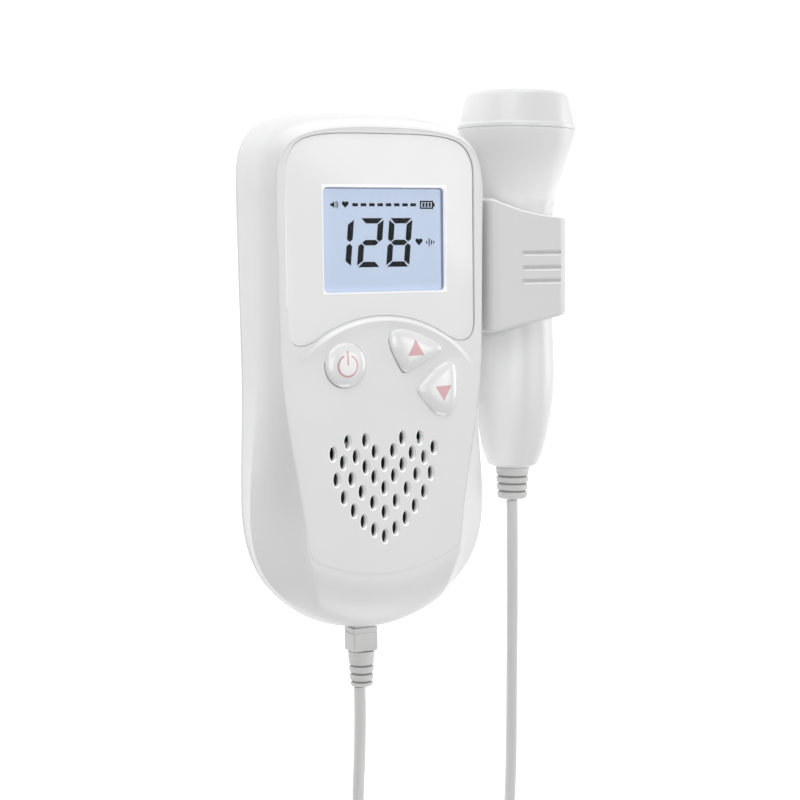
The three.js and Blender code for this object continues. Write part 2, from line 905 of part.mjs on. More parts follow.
// Screen stack: surround, clear window in its opening, display glass, backlight and connector strip
function lensPanel() {
  const plate = solidOf(plateBetween(panelShape(0), panelUnder, panelSurface));
  return cutBy(plate, [plateBetween(windowShape(0), panelUnder - overrun, panelSurface + overrun)]);
}
part(unit, "lens_panel", lensPanel(), glossWhite);
part(unit, "display_window", plateBetween(windowShape(-gap), panelUnder, panelSurface), clearPlastic);
part(unit, "lcd_glass", boxAround(0, glassY, glassWidth, glassHeight, glassUnder, glassTop), displayBlue);
const backlightY = glassY + (glassHeight - backlightHeight) / 2;
const stripY = glassY - glassHeight / 2 + stripDepth / 2;
part(
  unit,
  "lcd_backlight",
  boxAround(0, backlightY, glassWidth, backlightHeight, boardTop + gap, glassUnder - gap),
  plastic(0xe8eef8, 0.4),
);
part(
  unit,
  "lcd_connector",
  boxAround(0, stripY, stripWidth, stripDepth, boardTop + gap, glassUnder - gap),
  paper,
);

// Circuit board with a tail for the socket and holes for the case screws
function circuitBoard() {
  const middle = (boardUpper + boardLower) / 2;
  const main = roundedShape(boardWidth, boardUpper - boardLower, boardCorner, 0, middle);
  const tailY = (boardTail + boardLower + overrun) / 2;
  const tail = boxAround(0, tailY, boardTailWidth, boardLower + overrun - boardTail, boardUnder, boardTop);
  const holes = screwPlaces.map(([x, y]) =>
    rodUp(screwShank + gap, boardUnder - overrun, boardTop + overrun, x, y, smallSides),
  );
  return cutBy(solidOf(plateBetween(main, boardUnder, boardTop, 4)).add(solidOf(tail)), holes);
}
part(unit, "circuit_board", circuitBoard(), boardGreen);
const hangTop = boardUnder - gap;
const chip = boxAround(...chipPlace, chipSide, chipSide, hangTop - chipThick, hangTop);
part(unit, "main_chip", chip, blackPlastic);
const canOutline = roundedShape(canLength, canWidth, canCorner, ...canPlace);
part(unit, "oscillator_can", plateBetween(canOutline, hangTop - canHeight, hangTop, 4), steel);
part(
  unit,
  "filter_capacitor",
  rodUp(capacitorRadius, hangTop - capacitorHeight, hangTop, ...capacitorPlace, rodSides),
  greyPlastic,
);

// Keys with their switches: each cap is domed and has a flange under the front wall.
function clockwise(shape) {
  const ring = shape.getPoints(keyCurveSteps);
  if (ring[0].distanceTo(ring[ring.length - 1]) < gap / 10) ring.pop();
  return THREE.ShapeUtils.isClockWise(ring) ? ring : ring.reverse();
}
function keyCap({ shape }) {
  const levels = domeTurns.map((degrees) => {
    const turn = THREE.MathUtils.degToRad(degrees);
    const rise = domeShare * Math.sin(turn) + 1 - domeShare;
    return { ring: clockwise(shape(-domeWidth * (1 - Math.cos(turn)))), z: bodyDepth + buttonRise * rise };
  });
  levels.push({ ring: levels[levels.length - 1].ring, z: flangeTop });
  const merge = buttonFlangeThick / 4;
  const flange = plateBetween(shape(buttonFlange), flangeUnder, flangeTop + merge, keyCurveSteps);
  return joined([loftOf(levels), flange]);
}
keys.forEach((key) => {
  const [x, y] = key.centre;
  part(unit, key.name + "_button", keyCap(key), glossWhite);
  const half = switchSide / 2;
  const housing = solidOf(boxBetween(x - half, x + half, y - half, y + half, switchFoot, switchTop));
  const well = rodUp(plungerRadius + gap, switchTop - plungerDepth, switchTop + overrun, x, y, rodSides);
  part(unit, key.name + "_switch", cutBy(housing, [well]), blackPlastic);
  const stemFoot = switchTop - plungerDepth + buttonTravel + gap;
  part(unit, key.name + "_plunger", rodUp(plungerRadius, stemFoot, plungerTop, x, y, rodSides), greyPlastic);
});

// Speaker behind the grille
const speakerTop = innerFront - gap;
const magnetTop = speakerTop - speakerRim - coneDrop - basketWall - gap;
function speakerFrame() {
  const flangeFoot = speakerTop - speakerRim;
  const seat = magnetTop + gap;
  return turned(
    [
      [coneThroat + gap, seat],
      [basketRadius, seat],
      [coneRadius + basketWall, flangeFoot],
      [speakerRadius, flangeFoot],
      [speakerRadius, speakerTop],
      [coneRadius + basketWall, speakerTop],
      [coneRadius + basketWall / 2, flangeFoot + basketWall / 2],
      [basketRadius, seat + basketWall],
      [coneThroat + gap, seat + basketWall],
    ],
    roundSides,
    true,
  ).translate(0, speakerY, 0);
}
function speakerCone() {
  const seat = magnetTop + gap + basketWall + gap;
  return turned(
    [
      [0, seat],
      [basketRadius - basketWall, seat],
      [coneRadius, speakerTop - speakerRim + gap],
      [coneRadius, speakerTop - speakerRim + gap + coneThick],
      [coneThroat, seat + coneThick],
      [0, seat + 2 * coneThick],
    ],
    roundSides,
  ).translate(0, speakerY, 0);
}
part(unit, "speaker_frame", speakerFrame(), steel);
part(unit, "speaker_cone", speakerCone(), paper);
const magnet = rodUp(magnetRadius, boardTop + gap, magnetTop, 0, speakerY, roundSides);
part(unit, "speaker_magnet", magnet, blackPlastic);

// Cells and their contacts: the left cell points to the top of the case and the right one to the foot.
const cellX = bayHalf / 2;
const contactFoot = bayFoot + gap;
const contactHead = bayHead - gap;
const cellEnd = contactHead - contactThick - gap;
const cellStart = contactFoot + contactThick + gap;
function cell() {
  const body = cellLength - cellNub;
  return turned(
    [
      [0, 0],
      [cellRadius - gap, 0],
      [cellRadius, gap],
      [cellRadius, body - gap],
      [cellRadius - gap, body],
      [cellNubRadius, body],
      [cellNubRadius, cellLength],
      [0, cellLength],
    ],
    rodSides,
  );
}
const leftCell = part(unit, "battery_cell_left", cell(), cellSleeve);
leftCell.rotation.x = -Math.PI / 2;
leftCell.position.set(-cellX, cellEnd - cellLength, cellHeight);
const rightCell = part(unit, "battery_cell_right", cell(), cellSleeve);
rightCell.rotation.x = Math.PI / 2;
rightCell.position.set(cellX, cellStart + cellLength, cellHeight);

function contactPlate(x0, x1, y) {
  const half = contactHeight / 2;
  return boxBetween(x0, x1, y, y + contactThick, cellHeight - half, cellHeight + half);
}
const contactSide = bayHalf - gap;
part(unit, "contact_bridge", contactPlate(-contactSide, contactSide, contactHead - contactThick), nickel);
part(unit, "contact_negative", contactPlate(-contactSide, -contactSplit / 2, contactFoot), nickel);
part(unit, "contact_positive", contactPlate(contactSplit / 2, contactSide, contactFoot), nickel);

// A tube along points, with round ends square to its path.
function tubeAlong(points, radius, sides) {
  const places = [];
  const faces = [];
  const up = new THREE.Vector3(0, 0, 1);
  points.forEach((point, i) => {
    const before = points[Math.max(i - 1, 0)];
    const after = points[Math.min(i + 1, points.length - 1)];
    const along = after.clone().sub(before).normalize();
    const side = along.clone().cross(up).normalize();
    const rise = side.clone().cross(along);
    for (let j = 0; j < sides; j++) {
      const angle = (2 * Math.PI * (j + 0.5)) / sides;
      const spot = point.clone();
      spot.addScaledVector(side, radius * Math.cos(angle)).addScaledVector(rise, radius * Math.sin(angle));
      places.push(spot.x, spot.y, spot.z);
    }
  });
  const last = (points.length - 1) * sides;
  for (let i = 0; i + 1 < points.length; i++)
    for (let j = 0; j < sides; j++) {
      const [a, b] = [i * sides + j, i * sides + ((j + 1) % sides)];
      faces.push(a, a + sides, b, b, a + sides, b + sides);
    }
  for (let j = 1; j + 1 < sides; j++) faces.push(0, j, j + 1, last, last + j + 1, last + j);
  const geometry = new THREE.BufferGeometry();
  geometry.setAttribute("position", new THREE.Float32BufferAttribute(places, 3));
  geometry.setIndex(faces);
  return geometry;
}

// A tapering contact spring about the z axis.
function contactSpring(height) {
  const points = [];
  const steps = springTurns * smallSides;
  const rise = height - 2 * springWire;
  for (let i = 0; i <= steps; i++) {
    const share = i / steps;
    const angle = 2 * Math.PI * springTurns * share;
    const radius = THREE.MathUtils.lerp(springFoot, springTip, share);
    const [x, y] = [radius * Math.cos(angle), radius * Math.sin(angle)];
    points.push(new THREE.Vector3(x, y, springWire + rise * share));
  }
  return tubeAlong(points, springWire, 5);
}
const leftSpring = part(unit, "contact_spring_left", contactSpring(springLength), nickel);
leftSpring.rotation.x = -Math.PI / 2;
leftSpring.position.set(-cellX, contactFoot + contactThick + gap, cellHeight);
const rightSpring = part(unit, "contact_spring_right", contactSpring(springLength), nickel);
rightSpring.rotation.x = Math.PI / 2;
rightSpring.position.set(cellX, contactHead - contactThick - gap, cellHeight);

// Case screws, their heads up the counterbores of the rear posts
function caseScrew() {
  const head = screwSeat - gap;
  const profile = [
    [0, head - screwHeadThick],
    [screwHead, head - screwHeadThick],
    [screwHead, head],
    [screwShank, head],
    [screwShank, head + screwLength - screwShank],
    [0, head + screwLength],
  ];
  const recessFoot = head - screwHeadThick - overrun;
  const recessTop = head - screwHeadThick + screwRecess;
  const slots = [
    boxAround(0, 0, screwHead, screwSlot, recessFoot, recessTop),
    boxAround(0, 0, screwSlot, screwHead, recessFoot, recessTop),
  ];
  return cutBy(solidOf(turned(profile, smallSides)), slots);
}
screwPlaces.forEach(([x, y], i) => {
  const screw = part(unit, "case_screw_" + (i + 1), caseScrew(), steel);
  screw.position.set(x, y, 0);
});

// Socket under the tail of the board, open towards the plug
function cordSocket() {
  const halfWidth = tongueWidth / 2 + gap + socketWall;
  const top = boardUnder - gap;
  const foot = plugHeight - (top - plugHeight);
  const body = solidOf(boxBetween(-halfWidth, halfWidth, socketFoot, socketFoot + socketLength, foot, top));
  const mouth = boxBetween(
    -tongueWidth / 2 - gap,
    tongueWidth / 2 + gap,
    socketFoot - overrun,
    socketFoot + socketLength - socketWall,
    plugHeight - tongueDepth / 2 - gap,
    plugHeight + tongueDepth / 2 + gap,
  );
  return cutBy(body, [mouth]);
}
part(unit, "cord_socket", cordSocket(), blackPlastic);

// A ribbed strain relief about the z axis, from its wide end at zero to its narrow end.
function ribbedRelief(length, radius, tip, neckRadius, neckLength) {
  const profile = [
    [0, -neckLength],
    [neckRadius, -neckLength],
    [neckRadius, 0],
    [radius - gap, 0],
    [radius, gap],
  ];
  const pitch = length / (reliefRings + 1.5);
  for (let i = 1; i <= reliefRings; i++) {
    const middle = i * pitch;
    const around = THREE.MathUtils.lerp(radius, tip, middle / length);
    profile.push([around, middle - reliefGrooveWidth / 2]);
    profile.push([around - reliefGroove, middle - reliefGrooveWidth / 2]);
    profile.push([around - reliefGroove, middle + reliefGrooveWidth / 2]);
    profile.push([around, middle + reliefGrooveWidth / 2]);
  }
  profile.push([tip, length - gap], [tip - gap, length], [0, length]);
  return turned(profile, rodSides);
}

// Plug: a block outside the case and a tongue in the socket
const plug = new THREE.Group();
const plugFace = bodyBottom - gap;
const plugTail = plugFace - plugLength;
function plugBody() {
  const section = (inset) =>
    roundedShape(plugWidth - 2 * inset, plugDepth - 2 * inset, plugCorner - inset);
  const head = plateBetween(section(0), 0, plugCollar, 3);
  const block = plateBetween(section(0), plugCollar + plugGroove, plugLength, 3);
  const core = plateBetween(section(plugGroove), 0, plugLength, 3);
  const tongueSection = roundedShape(tongueWidth, tongueDepth, tongueCorner);
  const tongue = plateBetween(tongueSection, -tongueLength, plugCollar, 3);
  return joined([head, block, core, tongue]);
}
plug.position.set(0, plugFace, plugHeight);
plug.rotation.x = Math.PI / 2;
unit.add(plug);
part(plug, "plug_body", plugBody(), cordWhite);
const plugRelief = part(
  plug,
  "plug_relief",
  ribbedRelief(reliefLength, reliefRadius - gap, reliefTip - gap, reliefTip, 0),
  cordWhite,
);
plugRelief.position.z = plugLength + gap;
const plugExit = plugTail - gap - reliefLength;

// Probe: its group lies along its axis, z running from the contact face towards the cord.
probeTilt.position.set(probeX, probeFaceY, probeHeight);
probeTilt.rotation.z = THREE.MathUtils.degToRad(-probeLean);
probe.rotation.x = Math.PI / 2;
probeTilt.add(probe);
unit.add(probeTilt);

function probeCap() {
  return turned(
    [
      [0, 0],
      [capFaceRadius - capEdge / 2, 0],
      [capFaceRadius, capEdge / 4],
      [capFaceRadius + capEdge / 2, capEdge],
      [capShoulder, capLength / 3],
      [rimRadius - gap, capLength - rimBand - gap],
      [rimRadius, capLength - rimBand],
      [rimRadius, capLength],
      [rimRadius - capWall - gap, capLength],
      [capFaceRadius - gap, capWall],
      [0, capWall],
    ],
    roundSides,
  );
}
part(probe, "probe_cap", probeCap(), whiteCase);

function probeHandle() {
  const top = capLength + gap;
  const outer = handleProfile.map(([along, radius]) => [radius, along]);
  const inner = outer.filter((_, i) => i % 2 === 0).map(([radius, along]) => [radius - handleWall, along]);
  inner.reverse();
  return turned(
    [
      [rimRadius, top],
      ...outer,
      [handleEnd, probeLength],
      [tailHole, probeLength],
      [tailHole, probeLength - handleWall],
      ...inner,
      [rimRadius - handleWall, top],
    ],
    roundSides,
    true,
  );
}
part(probe, "probe_handle", probeHandle(), whiteCase);

const crystalFoot = capWall + gap;
function halfDisc(side) {
  const shape = new THREE.Shape();
  const start = Math.asin(crystalSplit / 2 / crystalRadius);
  shape.absarc(0, 0, crystalRadius, start, Math.PI - start);
  const disc = plateBetween(shape, crystalFoot, crystalFoot + crystalThick, smallSides);
  return side > 0 ? disc : disc.rotateZ(Math.PI);
}
part(probe, "crystal_transmit", halfDisc(1), ceramic);
part(probe, "crystal_receive", halfDisc(-1), ceramic);
const backingFoot = crystalFoot + crystalThick + gap;
const backing = rodUp(backingRadius, backingFoot, backingFoot + backingThick, 0, 0, rodSides);
part(probe, "transducer_backing", backing, foam);
const probeBoardEnd = probeBoardFrom + probeBoardLength;
part(
  probe,
  "probe_board",
  boxAround(0, 0, probeBoardWidth, probeBoardThick, probeBoardFrom, probeBoardEnd),
  boardGreen,
);
const probeRelief = part(
  probe,
  "probe_relief",
  ribbedRelief(probeReliefLength, probeReliefRadius, probeReliefTip, tailHole - gap, handleWall + overrun),
  cordWhite,
);
probeRelief.position.z = probeLength + gap;

// Probe holder: a clip with a base along the flank of the case and two arms round the handle
const holderFace = seamOutline.half + gap;
function probeHolder() {
  const half = holderClear + holderWall;
  const bend = holderBend;
  const base = holderFace + holderBase;
  const reach = holderReach;
  const inner = holderClear;
  const tip = half - bend;
  const [upper, lower] = flankShares.slice(0, 2).map(([inwards, up]) => [
    THREE.MathUtils.lerp(holderFace, backOutline.half + gap, inwards) + holderSlack,
    up * seamHeight - probeHeight,
  ]);
  const shape = new THREE.Shape();
  shape.moveTo(...lower);
  shape.quadraticCurveTo(lower[0], -half, holderFace + 2 * holderFlare, -half);
  shape.lineTo(reach - bend, -half);
  shape.absarc(reach - bend, -half + bend, bend, -Math.PI / 2, 0);
  shape.lineTo(reach - holderWall, -tip);
  shape.absarc(reach - bend, -half + bend, bend - holderWall, 0, -Math.PI / 2, true);
  shape.lineTo(base + holderFlare, -inner);
  shape.quadraticCurveTo(base, -inner, base, -inner + holderFlare);
  shape.lineTo(base, inner - holderFlare);
  shape.quadraticCurveTo(base, inner, base + holderFlare, inner);
  shape.lineTo(reach - bend, inner);
  shape.absarc(reach - bend, half - bend, bend - holderWall, Math.PI / 2, 0, true);
  shape.lineTo(reach, tip);
  shape.absarc(reach - bend, half - bend, bend, 0, Math.PI / 2);
  shape.lineTo(holderFace + 2 * holderFlare, half);
  shape.quadraticCurveTo(holderFace, half, holderFace, half - holderFlare);
  shape.lineTo(holderFace, seamHeight - probeHeight);
  shape.lineTo(...upper);
  const section = plateBetween(shape, 0, holderTop - holderBottom, 4);
  section.rotateX(Math.PI / 2).translate(0, holderTop, probeHeight);
  const outline = new THREE.Shape();
  outline.moveTo(lower[0] - overrun, holderTop);
  outline.lineTo(holderFace - overrun, holderTop);
  outline.quadraticCurveTo((holderFace + reach) / 2, holderTipTop, reach - holderCorner, holderTipTop);
  outline.quadraticCurveTo(reach, holderTipTop, reach, holderTipTop - holderCorner);
  outline.lineTo(reach, holderTipBottom + holderCorner);
  outline.quadraticCurveTo(reach, holderTipBottom, reach - holderCorner, holderTipBottom);
  outline.lineTo(lower[0] - overrun, holderBottom);
  const taper = plateBetween(outline, -overrun, bodyDepth + overrun, 6);
  const keyHalf = holderKeyWidth / 2;
  const key = boxAround(
    holderFace,
    holderY,
    2 * holderKeyDepth,
    holderKeyLength,
    seamHeight - keyHalf,
    seamHeight + keyHalf,
  );
  const grooveZ = probeHeight + half - holderGrooveDepth;
  const grooveX = (holderGrooveFrom + holderGrooveTo) / 2;
  const grooveLength = holderGrooveTo - holderGrooveFrom;
  const grooves = holderGrooves.map((y) =>
    boxAround(grooveX, y, grooveLength, holderGrooveWidth, grooveZ, grooveZ + overrun),
  );
  return cutBy(solidOf(section).intersect(solidOf(taper)).add(solidOf(key)), grooves);
}
part(unit, "probe_holder", probeHolder(), clipWhite);

// Cord: the stretch from the probe, the stored coil and the stretch to the plug
const cordRadius = cordDiameter / 2;
const coilOuter = coilMiddle + (coilPitch * coilTurns) / 4;
const coilInner = coilOuter - (coilPitch * coilTurns) / 2;
const coilFloor = cordRadius + gap + tieThick + coilLift;

function coilPoint(angle) {
  const reverse = Math.PI * coilTurns;
  const inward = angle < reverse;
  const travelled = inward ? angle : angle - reverse;
  const drift = (coilPitch * travelled) / (2 * Math.PI);
  const radius = inward ? coilOuter - drift : coilInner + drift;
  const climb = THREE.MathUtils.smoothstep(angle, reverse - Math.PI / 2, reverse + Math.PI / 2);
  return new THREE.Vector3(
    coilX + radius * Math.cos(-angle),
    coilY + radius * Math.sin(-angle),
    coilFloor + climb * coilPitch,
  );
}

function coilPath() {
  const steps = coilTurns * coilSteps;
  const points = [];
  for (let i = 0; i <= steps; i++) points.push(coilPoint((2 * Math.PI * i) / coilSteps));
  const first = points[0].clone();
  const last = points[points.length - 1].clone();
  first.y += cordDiameter;
  last.y += cordDiameter;
  return [first, ...points, last];
}

// Least gap between turns of the coil, measured on points along its middle line.
function leastCoilGap() {
  const fine = [];
  const perTurn = 6 * coilSteps;
  for (let i = 0; i <= coilTurns * perTurn; i++) fine.push(coilPoint((2 * Math.PI * i) / perTurn));
  let least = Infinity;
  fine.forEach((p, i) => {
    for (let j = i + perTurn / 2; j < fine.length; j++) least = Math.min(least, p.distanceTo(fine[j]));
  });
  return least - cordDiameter;
}
console.log("least gap between turns of the coil: " + leastCoilGap().toFixed(2) + " mm");

const coilEnds = coilPath();
const coilStart = coilEnds[0];
const coilFinish = coilEnds[coilEnds.length - 1];
part(unit, "cord_coil", tubeAlong(coilEnds, cordRadius, coilSides), cordWhite);

// A free stretch of cord through points.
function cordStretch(points, steps) {
  const path = new THREE.CatmullRomCurve3(points.map((p) => new THREE.Vector3(...p)), false, "centripetal");
  const section = new THREE.Shape();
  for (let i = 0; i < cordSides; i++) {
    const angle = (2 * Math.PI * i) / cordSides;
    const spot = [cordRadius * Math.cos(angle), cordRadius * Math.sin(angle)];
    if (i === 0) section.moveTo(...spot);
    else section.lineTo(...spot);
  }
  return new THREE.ExtrudeGeometry(section, { steps, extrudePath: path, bevelEnabled: false });
}

const probeExit = new THREE.Vector3(0, 0, probeLength + gap + probeReliefLength + gap);
unit.updateMatrixWorld(true);
probe.localToWorld(probeExit);
const probeCordPoints = [
  [probeExit.x, probeExit.y, probeExit.z],
  [48.4, -46, 16.8],
  [48.8, -54, 16.1],
  [49.9, -63, 14.2],
  [51.6, -72, 11.4],
  [53.5, -82, 8.1],
  [55.2, -92, 5.1],
  [56.3, -102, 3.1],
  [56.6, -112, 2.4],
  [56.3, -122, 2.35],
  [55.8, -132, 2.35],
  [55.4, -142, 2.35],
  [coilStart.x, coilStart.y + gap, coilStart.z],
];
part(unit, "cord_probe", cordStretch(probeCordPoints, 34), cordWhite);
const plugCordPoints = [
  [0, plugExit - gap, plugHeight],
  [0.2, -93, 16.1],
  [0.9, -101, 14.4],
  [2, -109, 11.6],
  [3.2, -117, 8.4],
  [4.6, -125, 5.6],
  [5.7, -133, 3.6],
  [6.4, -140, 3.4],
  [6.6, -147, 4.9],
  [coilFinish.x, coilFinish.y + gap, coilFinish.z],
];
part(unit, "cord_plug", cordStretch(plugCordPoints, 24), cordWhite);

// Tie: a band round all turns at the foot of the coil
function coilTie() {
  const clear = cordRadius + gap;
  const width = coilOuter - coilInner + 2 * clear + 2 * tieThick;
  const height = coilPitch + 2 * clear + 2 * tieThick;
  const middle = (coilOuter + coilInner) / 2;
  const band = roundedShape(width, height, cordRadius);
  band.holes.push(roundedShape(width - 2 * tieThick, height - 2 * tieThick, cordRadius - tieThick));
  const loop = plateBetween(band, -tieWidth / 2, tieWidth / 2, 4);
  loop.rotateX(Math.PI / 2).rotateZ(Math.PI / 2);
  return loop.translate(coilX, coilY - middle, coilFloor + coilPitch / 2);
}
part(unit, "coil_tie", coilTie(), cordWhite);

export default unit;
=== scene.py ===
"""The looks of a handheld fetal doppler monitor, laid over its packed solids.

The monitor lies on its back: x runs to the right of the screen, y to the top of
the case and z out of the screen. Shapes are worked out in millimetres and become
metres where a mesh is made.
"""

import json
import math

import bpy
from mathutils import Matrix, Vector


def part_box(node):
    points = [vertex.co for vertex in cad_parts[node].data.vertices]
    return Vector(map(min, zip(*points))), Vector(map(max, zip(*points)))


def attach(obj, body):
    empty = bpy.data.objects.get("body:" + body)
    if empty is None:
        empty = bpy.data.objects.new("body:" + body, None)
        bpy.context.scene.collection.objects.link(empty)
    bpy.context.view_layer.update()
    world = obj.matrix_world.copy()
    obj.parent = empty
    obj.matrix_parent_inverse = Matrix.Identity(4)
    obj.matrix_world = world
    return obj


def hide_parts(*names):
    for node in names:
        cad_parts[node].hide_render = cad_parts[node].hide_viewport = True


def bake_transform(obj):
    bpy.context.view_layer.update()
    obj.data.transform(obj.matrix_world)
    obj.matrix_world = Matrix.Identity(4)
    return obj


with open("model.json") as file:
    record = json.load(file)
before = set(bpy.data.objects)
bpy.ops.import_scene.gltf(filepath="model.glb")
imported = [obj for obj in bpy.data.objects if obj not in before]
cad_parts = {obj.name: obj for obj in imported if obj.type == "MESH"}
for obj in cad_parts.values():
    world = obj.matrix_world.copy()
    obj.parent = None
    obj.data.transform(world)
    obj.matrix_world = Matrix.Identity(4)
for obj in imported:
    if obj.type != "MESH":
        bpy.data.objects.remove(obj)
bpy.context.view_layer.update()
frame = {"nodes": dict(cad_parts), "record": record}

bl_info = {
    "name": "Fetal Doppler Monitor Looks",
    "version": (1, 0, 0),
    "blender": (4, 5, 0),
    "location": "3D View > Sidebar > Doppler",
    "description": "Makes the finished pieces, finishes and studio of a fetal doppler monitor",
    "category": "Object",
}

MM = 0.001
# Clearance between pieces, and how far a cutter runs past the face that it opens, in millimetres
GAP = 0.3
CUT_PAST = 1
# Vertices nearer to each other than this are one
MERGE_REACH = 0.002
SLAB_EDGE_STEPS = 4


# Sizes and colours that a user would change


def colour_setting(name, description, default):
    """A colour, each channel from 0 to 1."""
    return bpy.props.FloatVectorProperty(
        name=name, description=description, subtype="COLOR", size=3, min=0, max=1, default=default
    )


def length_setting(name, description, default, smallest=0):
    """A length in metres, not under the smallest."""
    return bpy.props.FloatProperty(
        name=name, description=description, unit="LENGTH", min=smallest, default=default
    )


def share_setting(name, description, default):
    """A share or strength, not under 0."""
    return bpy.props.FloatProperty(
        name=name, description=description, subtype="FACTOR", min=0, default=default
    )


class CaseSettings(bpy.types.PropertyGroup):
    """Sizes and colours of the case"""

    colour: colour_setting("Plastic", "Colour of the moulded shells", (0.80, 0.80, 0.805))
    clip_colour: colour_setting("Holder", "Colour of the probe holder", (0.69, 0.69, 0.695))
    wall: length_setting("Wall", "Thickness of the shells", 0.002, 0.0008)
    ridge_rise: length_setting("Ridge", "Height of the arched ridge under the screen", 0.0005)
    slot_edge: length_setting(
        "Slot edge", "Width of the slanted edge round each slot of the grille", 0.00022
    )


class ScreenSettings(bpy.types.PropertyGroup):
    """Sizes and colours of the screen and the keys"""

    panel_colour: colour_setting("Surround", "Colour of the glossy surround", (0.765, 0.765, 0.77))
    key_colour: colour_setting("Keys", "Colour of the three keys", (0.9, 0.9, 0.9))
    display_colour: colour_setting("Display", "Colour of the lit display", (0.47, 0.56, 0.72))
    figure_colour: colour_setting(
        "Figures", "Colour of the figures on the display", (0.006, 0.007, 0.008)
    )
    mark_colour: colour_setting("Arrows", "Colour of the marks printed on the keys", (0.66, 0.36, 0.38))
    figure_height: length_setting("Figure height", "Height of the large figures", 0.0125, 0.002)


class CordSettings(bpy.types.PropertyGroup):
    """Size and colour of the cord"""

    colour: colour_setting("Jacket", "Colour of the cord and of its sleeves", (0.68, 0.68, 0.675))
    diameter: length_setting("Diameter", "Diameter of the cord", 0.0032, 0.001)


class StageSettings(bpy.types.PropertyGroup):
    """The studio round the object"""

    floor_size: length_setting("Floor", "Side of the square floor", 8, 1)
    lens: bpy.props.FloatProperty(
        name="Lens",
        description="Focal length of the camera",
        unit="CAMERA",
        min=10,
        default=81,
    )
    floor_light: share_setting("Floor light", "Light that the floor gives off, as a light table does", 0.42)
    floor_white: share_setting(
        "Floor white", "White that only the eye sees on the floor, on top of its light", 0.16
    )
    sky: share_setting("Sky", "Strength of the light from all round", 0.05)
    lamp_power: bpy.props.FloatProperty(
        name="Lamps",
        description="Power of a lamp whose share is 1",
        unit="POWER",
        min=0,
        default=6,
    )


# Rings and profiles, in millimetres


def between(a, b, share):
    """The value a share of the way from a to b."""
    return a + (b - a) * share


def eased(share):
    """A share held between 0 and 1, with a gentle start and end."""
    share = min(1, max(0, share))
    return share * share * (3 - 2 * share)


def bezier(points, steps):
    """Points along a curve of three or four control points, both ends included."""
    found = []
    for i in range(steps + 1):
        row = [Vector(p) for p in points]
        while len(row) > 1:
            row = [row[j].lerp(row[j + 1], i / steps) for j in range(len(row) - 1)]
        found.append(row[0])
    return found


def arc(x, y, radius, start, finish, steps):
    """Points along an arc, its angles in radians, both ends included."""
    angles = [between(start, finish, i / steps) for i in range(steps + 1)]
    return [Vector((x + radius * math.cos(a), y + radius * math.sin(a))) for a in angles]


def inset_ring(ring, distance):
    """A ring that runs clockwise, moved inward by a distance."""
    count = len(ring)
    moved = []
    for i, point in enumerate(ring):
        along = (ring[(i + 1) % count] - ring[i - 1]).normalized()
        moved.append(Vector((point.x + along.y * distance, point.y - along.x * distance)))
    return moved


def rounded_box(width, height, radius, x, y, steps=6):
    """A clockwise ring round a box with round corners."""
    right, high = width / 2 - radius, height / 2 - radius
    ring = []
    corners = [(right, high), (right, -high), (-right, -high), (-right, high)]
    for i, (across, up) in enumerate(corners):
        start = math.pi / 2 * (1 - i)
        ring += arc(x + across, y + up, radius, start, start - math.pi / 2, steps)
    return ring


def ellipse(x, y, width, height, steps):
    """A clockwise ring round an ellipse."""
    angles = [-2 * math.pi * i / steps for i in range(steps)]
    return [Vector((x + width / 2 * math.cos(a), y + height / 2 * math.sin(a))) for a in angles]


def through(points, steps):
    """Points along a smooth centripetal curve through the given ones, so many steps to a span."""
    spots = [Vector(p) for p in points]
    spots = [2 * spots[0] - spots[1], *spots, 2 * spots[-1] - spots[-2]]
    found = []
    for p0, p1, p2, p3 in zip(spots, spots[1:], spots[2:], spots[3:]):
        k0, k1, k2 = ((b - a).length ** 0.5 for a, b in ((p0, p1), (p1, p2), (p2, p3)))
        start = ((p1 - p0) / k0 - (p2 - p0) / (k0 + k1) + (p2 - p1) / k1) * k1
        finish = ((p2 - p1) / k1 - (p3 - p1) / (k1 + k2) + (p3 - p2) / k2) * k1
        for i in range(steps):
            t = i / steps
            bend = 3 * (p2 - p1) - 2 * start - finish
            twist = 2 * (p1 - p2) + start + finish
            found.append(p1 + start * t + bend * t * t + twist * t**3)
    return [*found, spots[-2]]


# Meshes


def clear_selection():
    """Leaves edit mode with nothing selected."""
    if bpy.context.object and bpy.context.object.mode != "OBJECT":
        bpy.ops.object.mode_set(mode="OBJECT")
    bpy.ops.object.select_all(action="DESELECT")


def pick(piece):
    """Selects one object alone and makes it the active one."""
    clear_selection()
    piece.select_set(True)
    bpy.context.view_layer.objects.active = piece


def new_piece(name, points, faces, edges=()):
    """A mesh object from points in millimetres."""
    mesh = bpy.data.meshes.new(name)
    mesh.from_pydata([Vector(p) * MM for p in points], list(edges), faces)
    mesh.update()
    piece = bpy.data.objects.new(name, mesh)
    bpy.context.scene.collection.objects.link(piece)
    return piece


def skin(name, points, count):
    """A closed piece through rows of so many points each, with a face at both ends."""
    faces = []
    for start in range(0, len(points) - count, count):
        for i in range(count):
            a, b = start + i, start + (i + 1) % count
            faces.append((a, b, b + count, a + count))
    faces.append(tuple(reversed(range(count))))
    faces.append(tuple(range(len(points) - count, len(points))))
    return new_piece(name, points, faces)


def loft(name, levels):
    """A closed piece through clockwise rings of equal count, given as (ring, z) from the top down."""
    return skin(name, [(p.x, p.y, z) for ring, z in levels for p in ring], len(levels[0][0]))


def slab(name, ring, low, high, edge):
    """A plate from low to high with rounded edges."""
    levels = []
    for i in range(SLAB_EDGE_STEPS + 1):
        angle = math.pi / 2 * i / SLAB_EDGE_STEPS
        levels.append((inset_ring(ring, edge * (1 - math.sin(angle))), high - edge * (1 - math.cos(angle))))
    foot = [(level, low + high - z) for level, z in reversed(levels)]
    return loft(name, levels + foot)


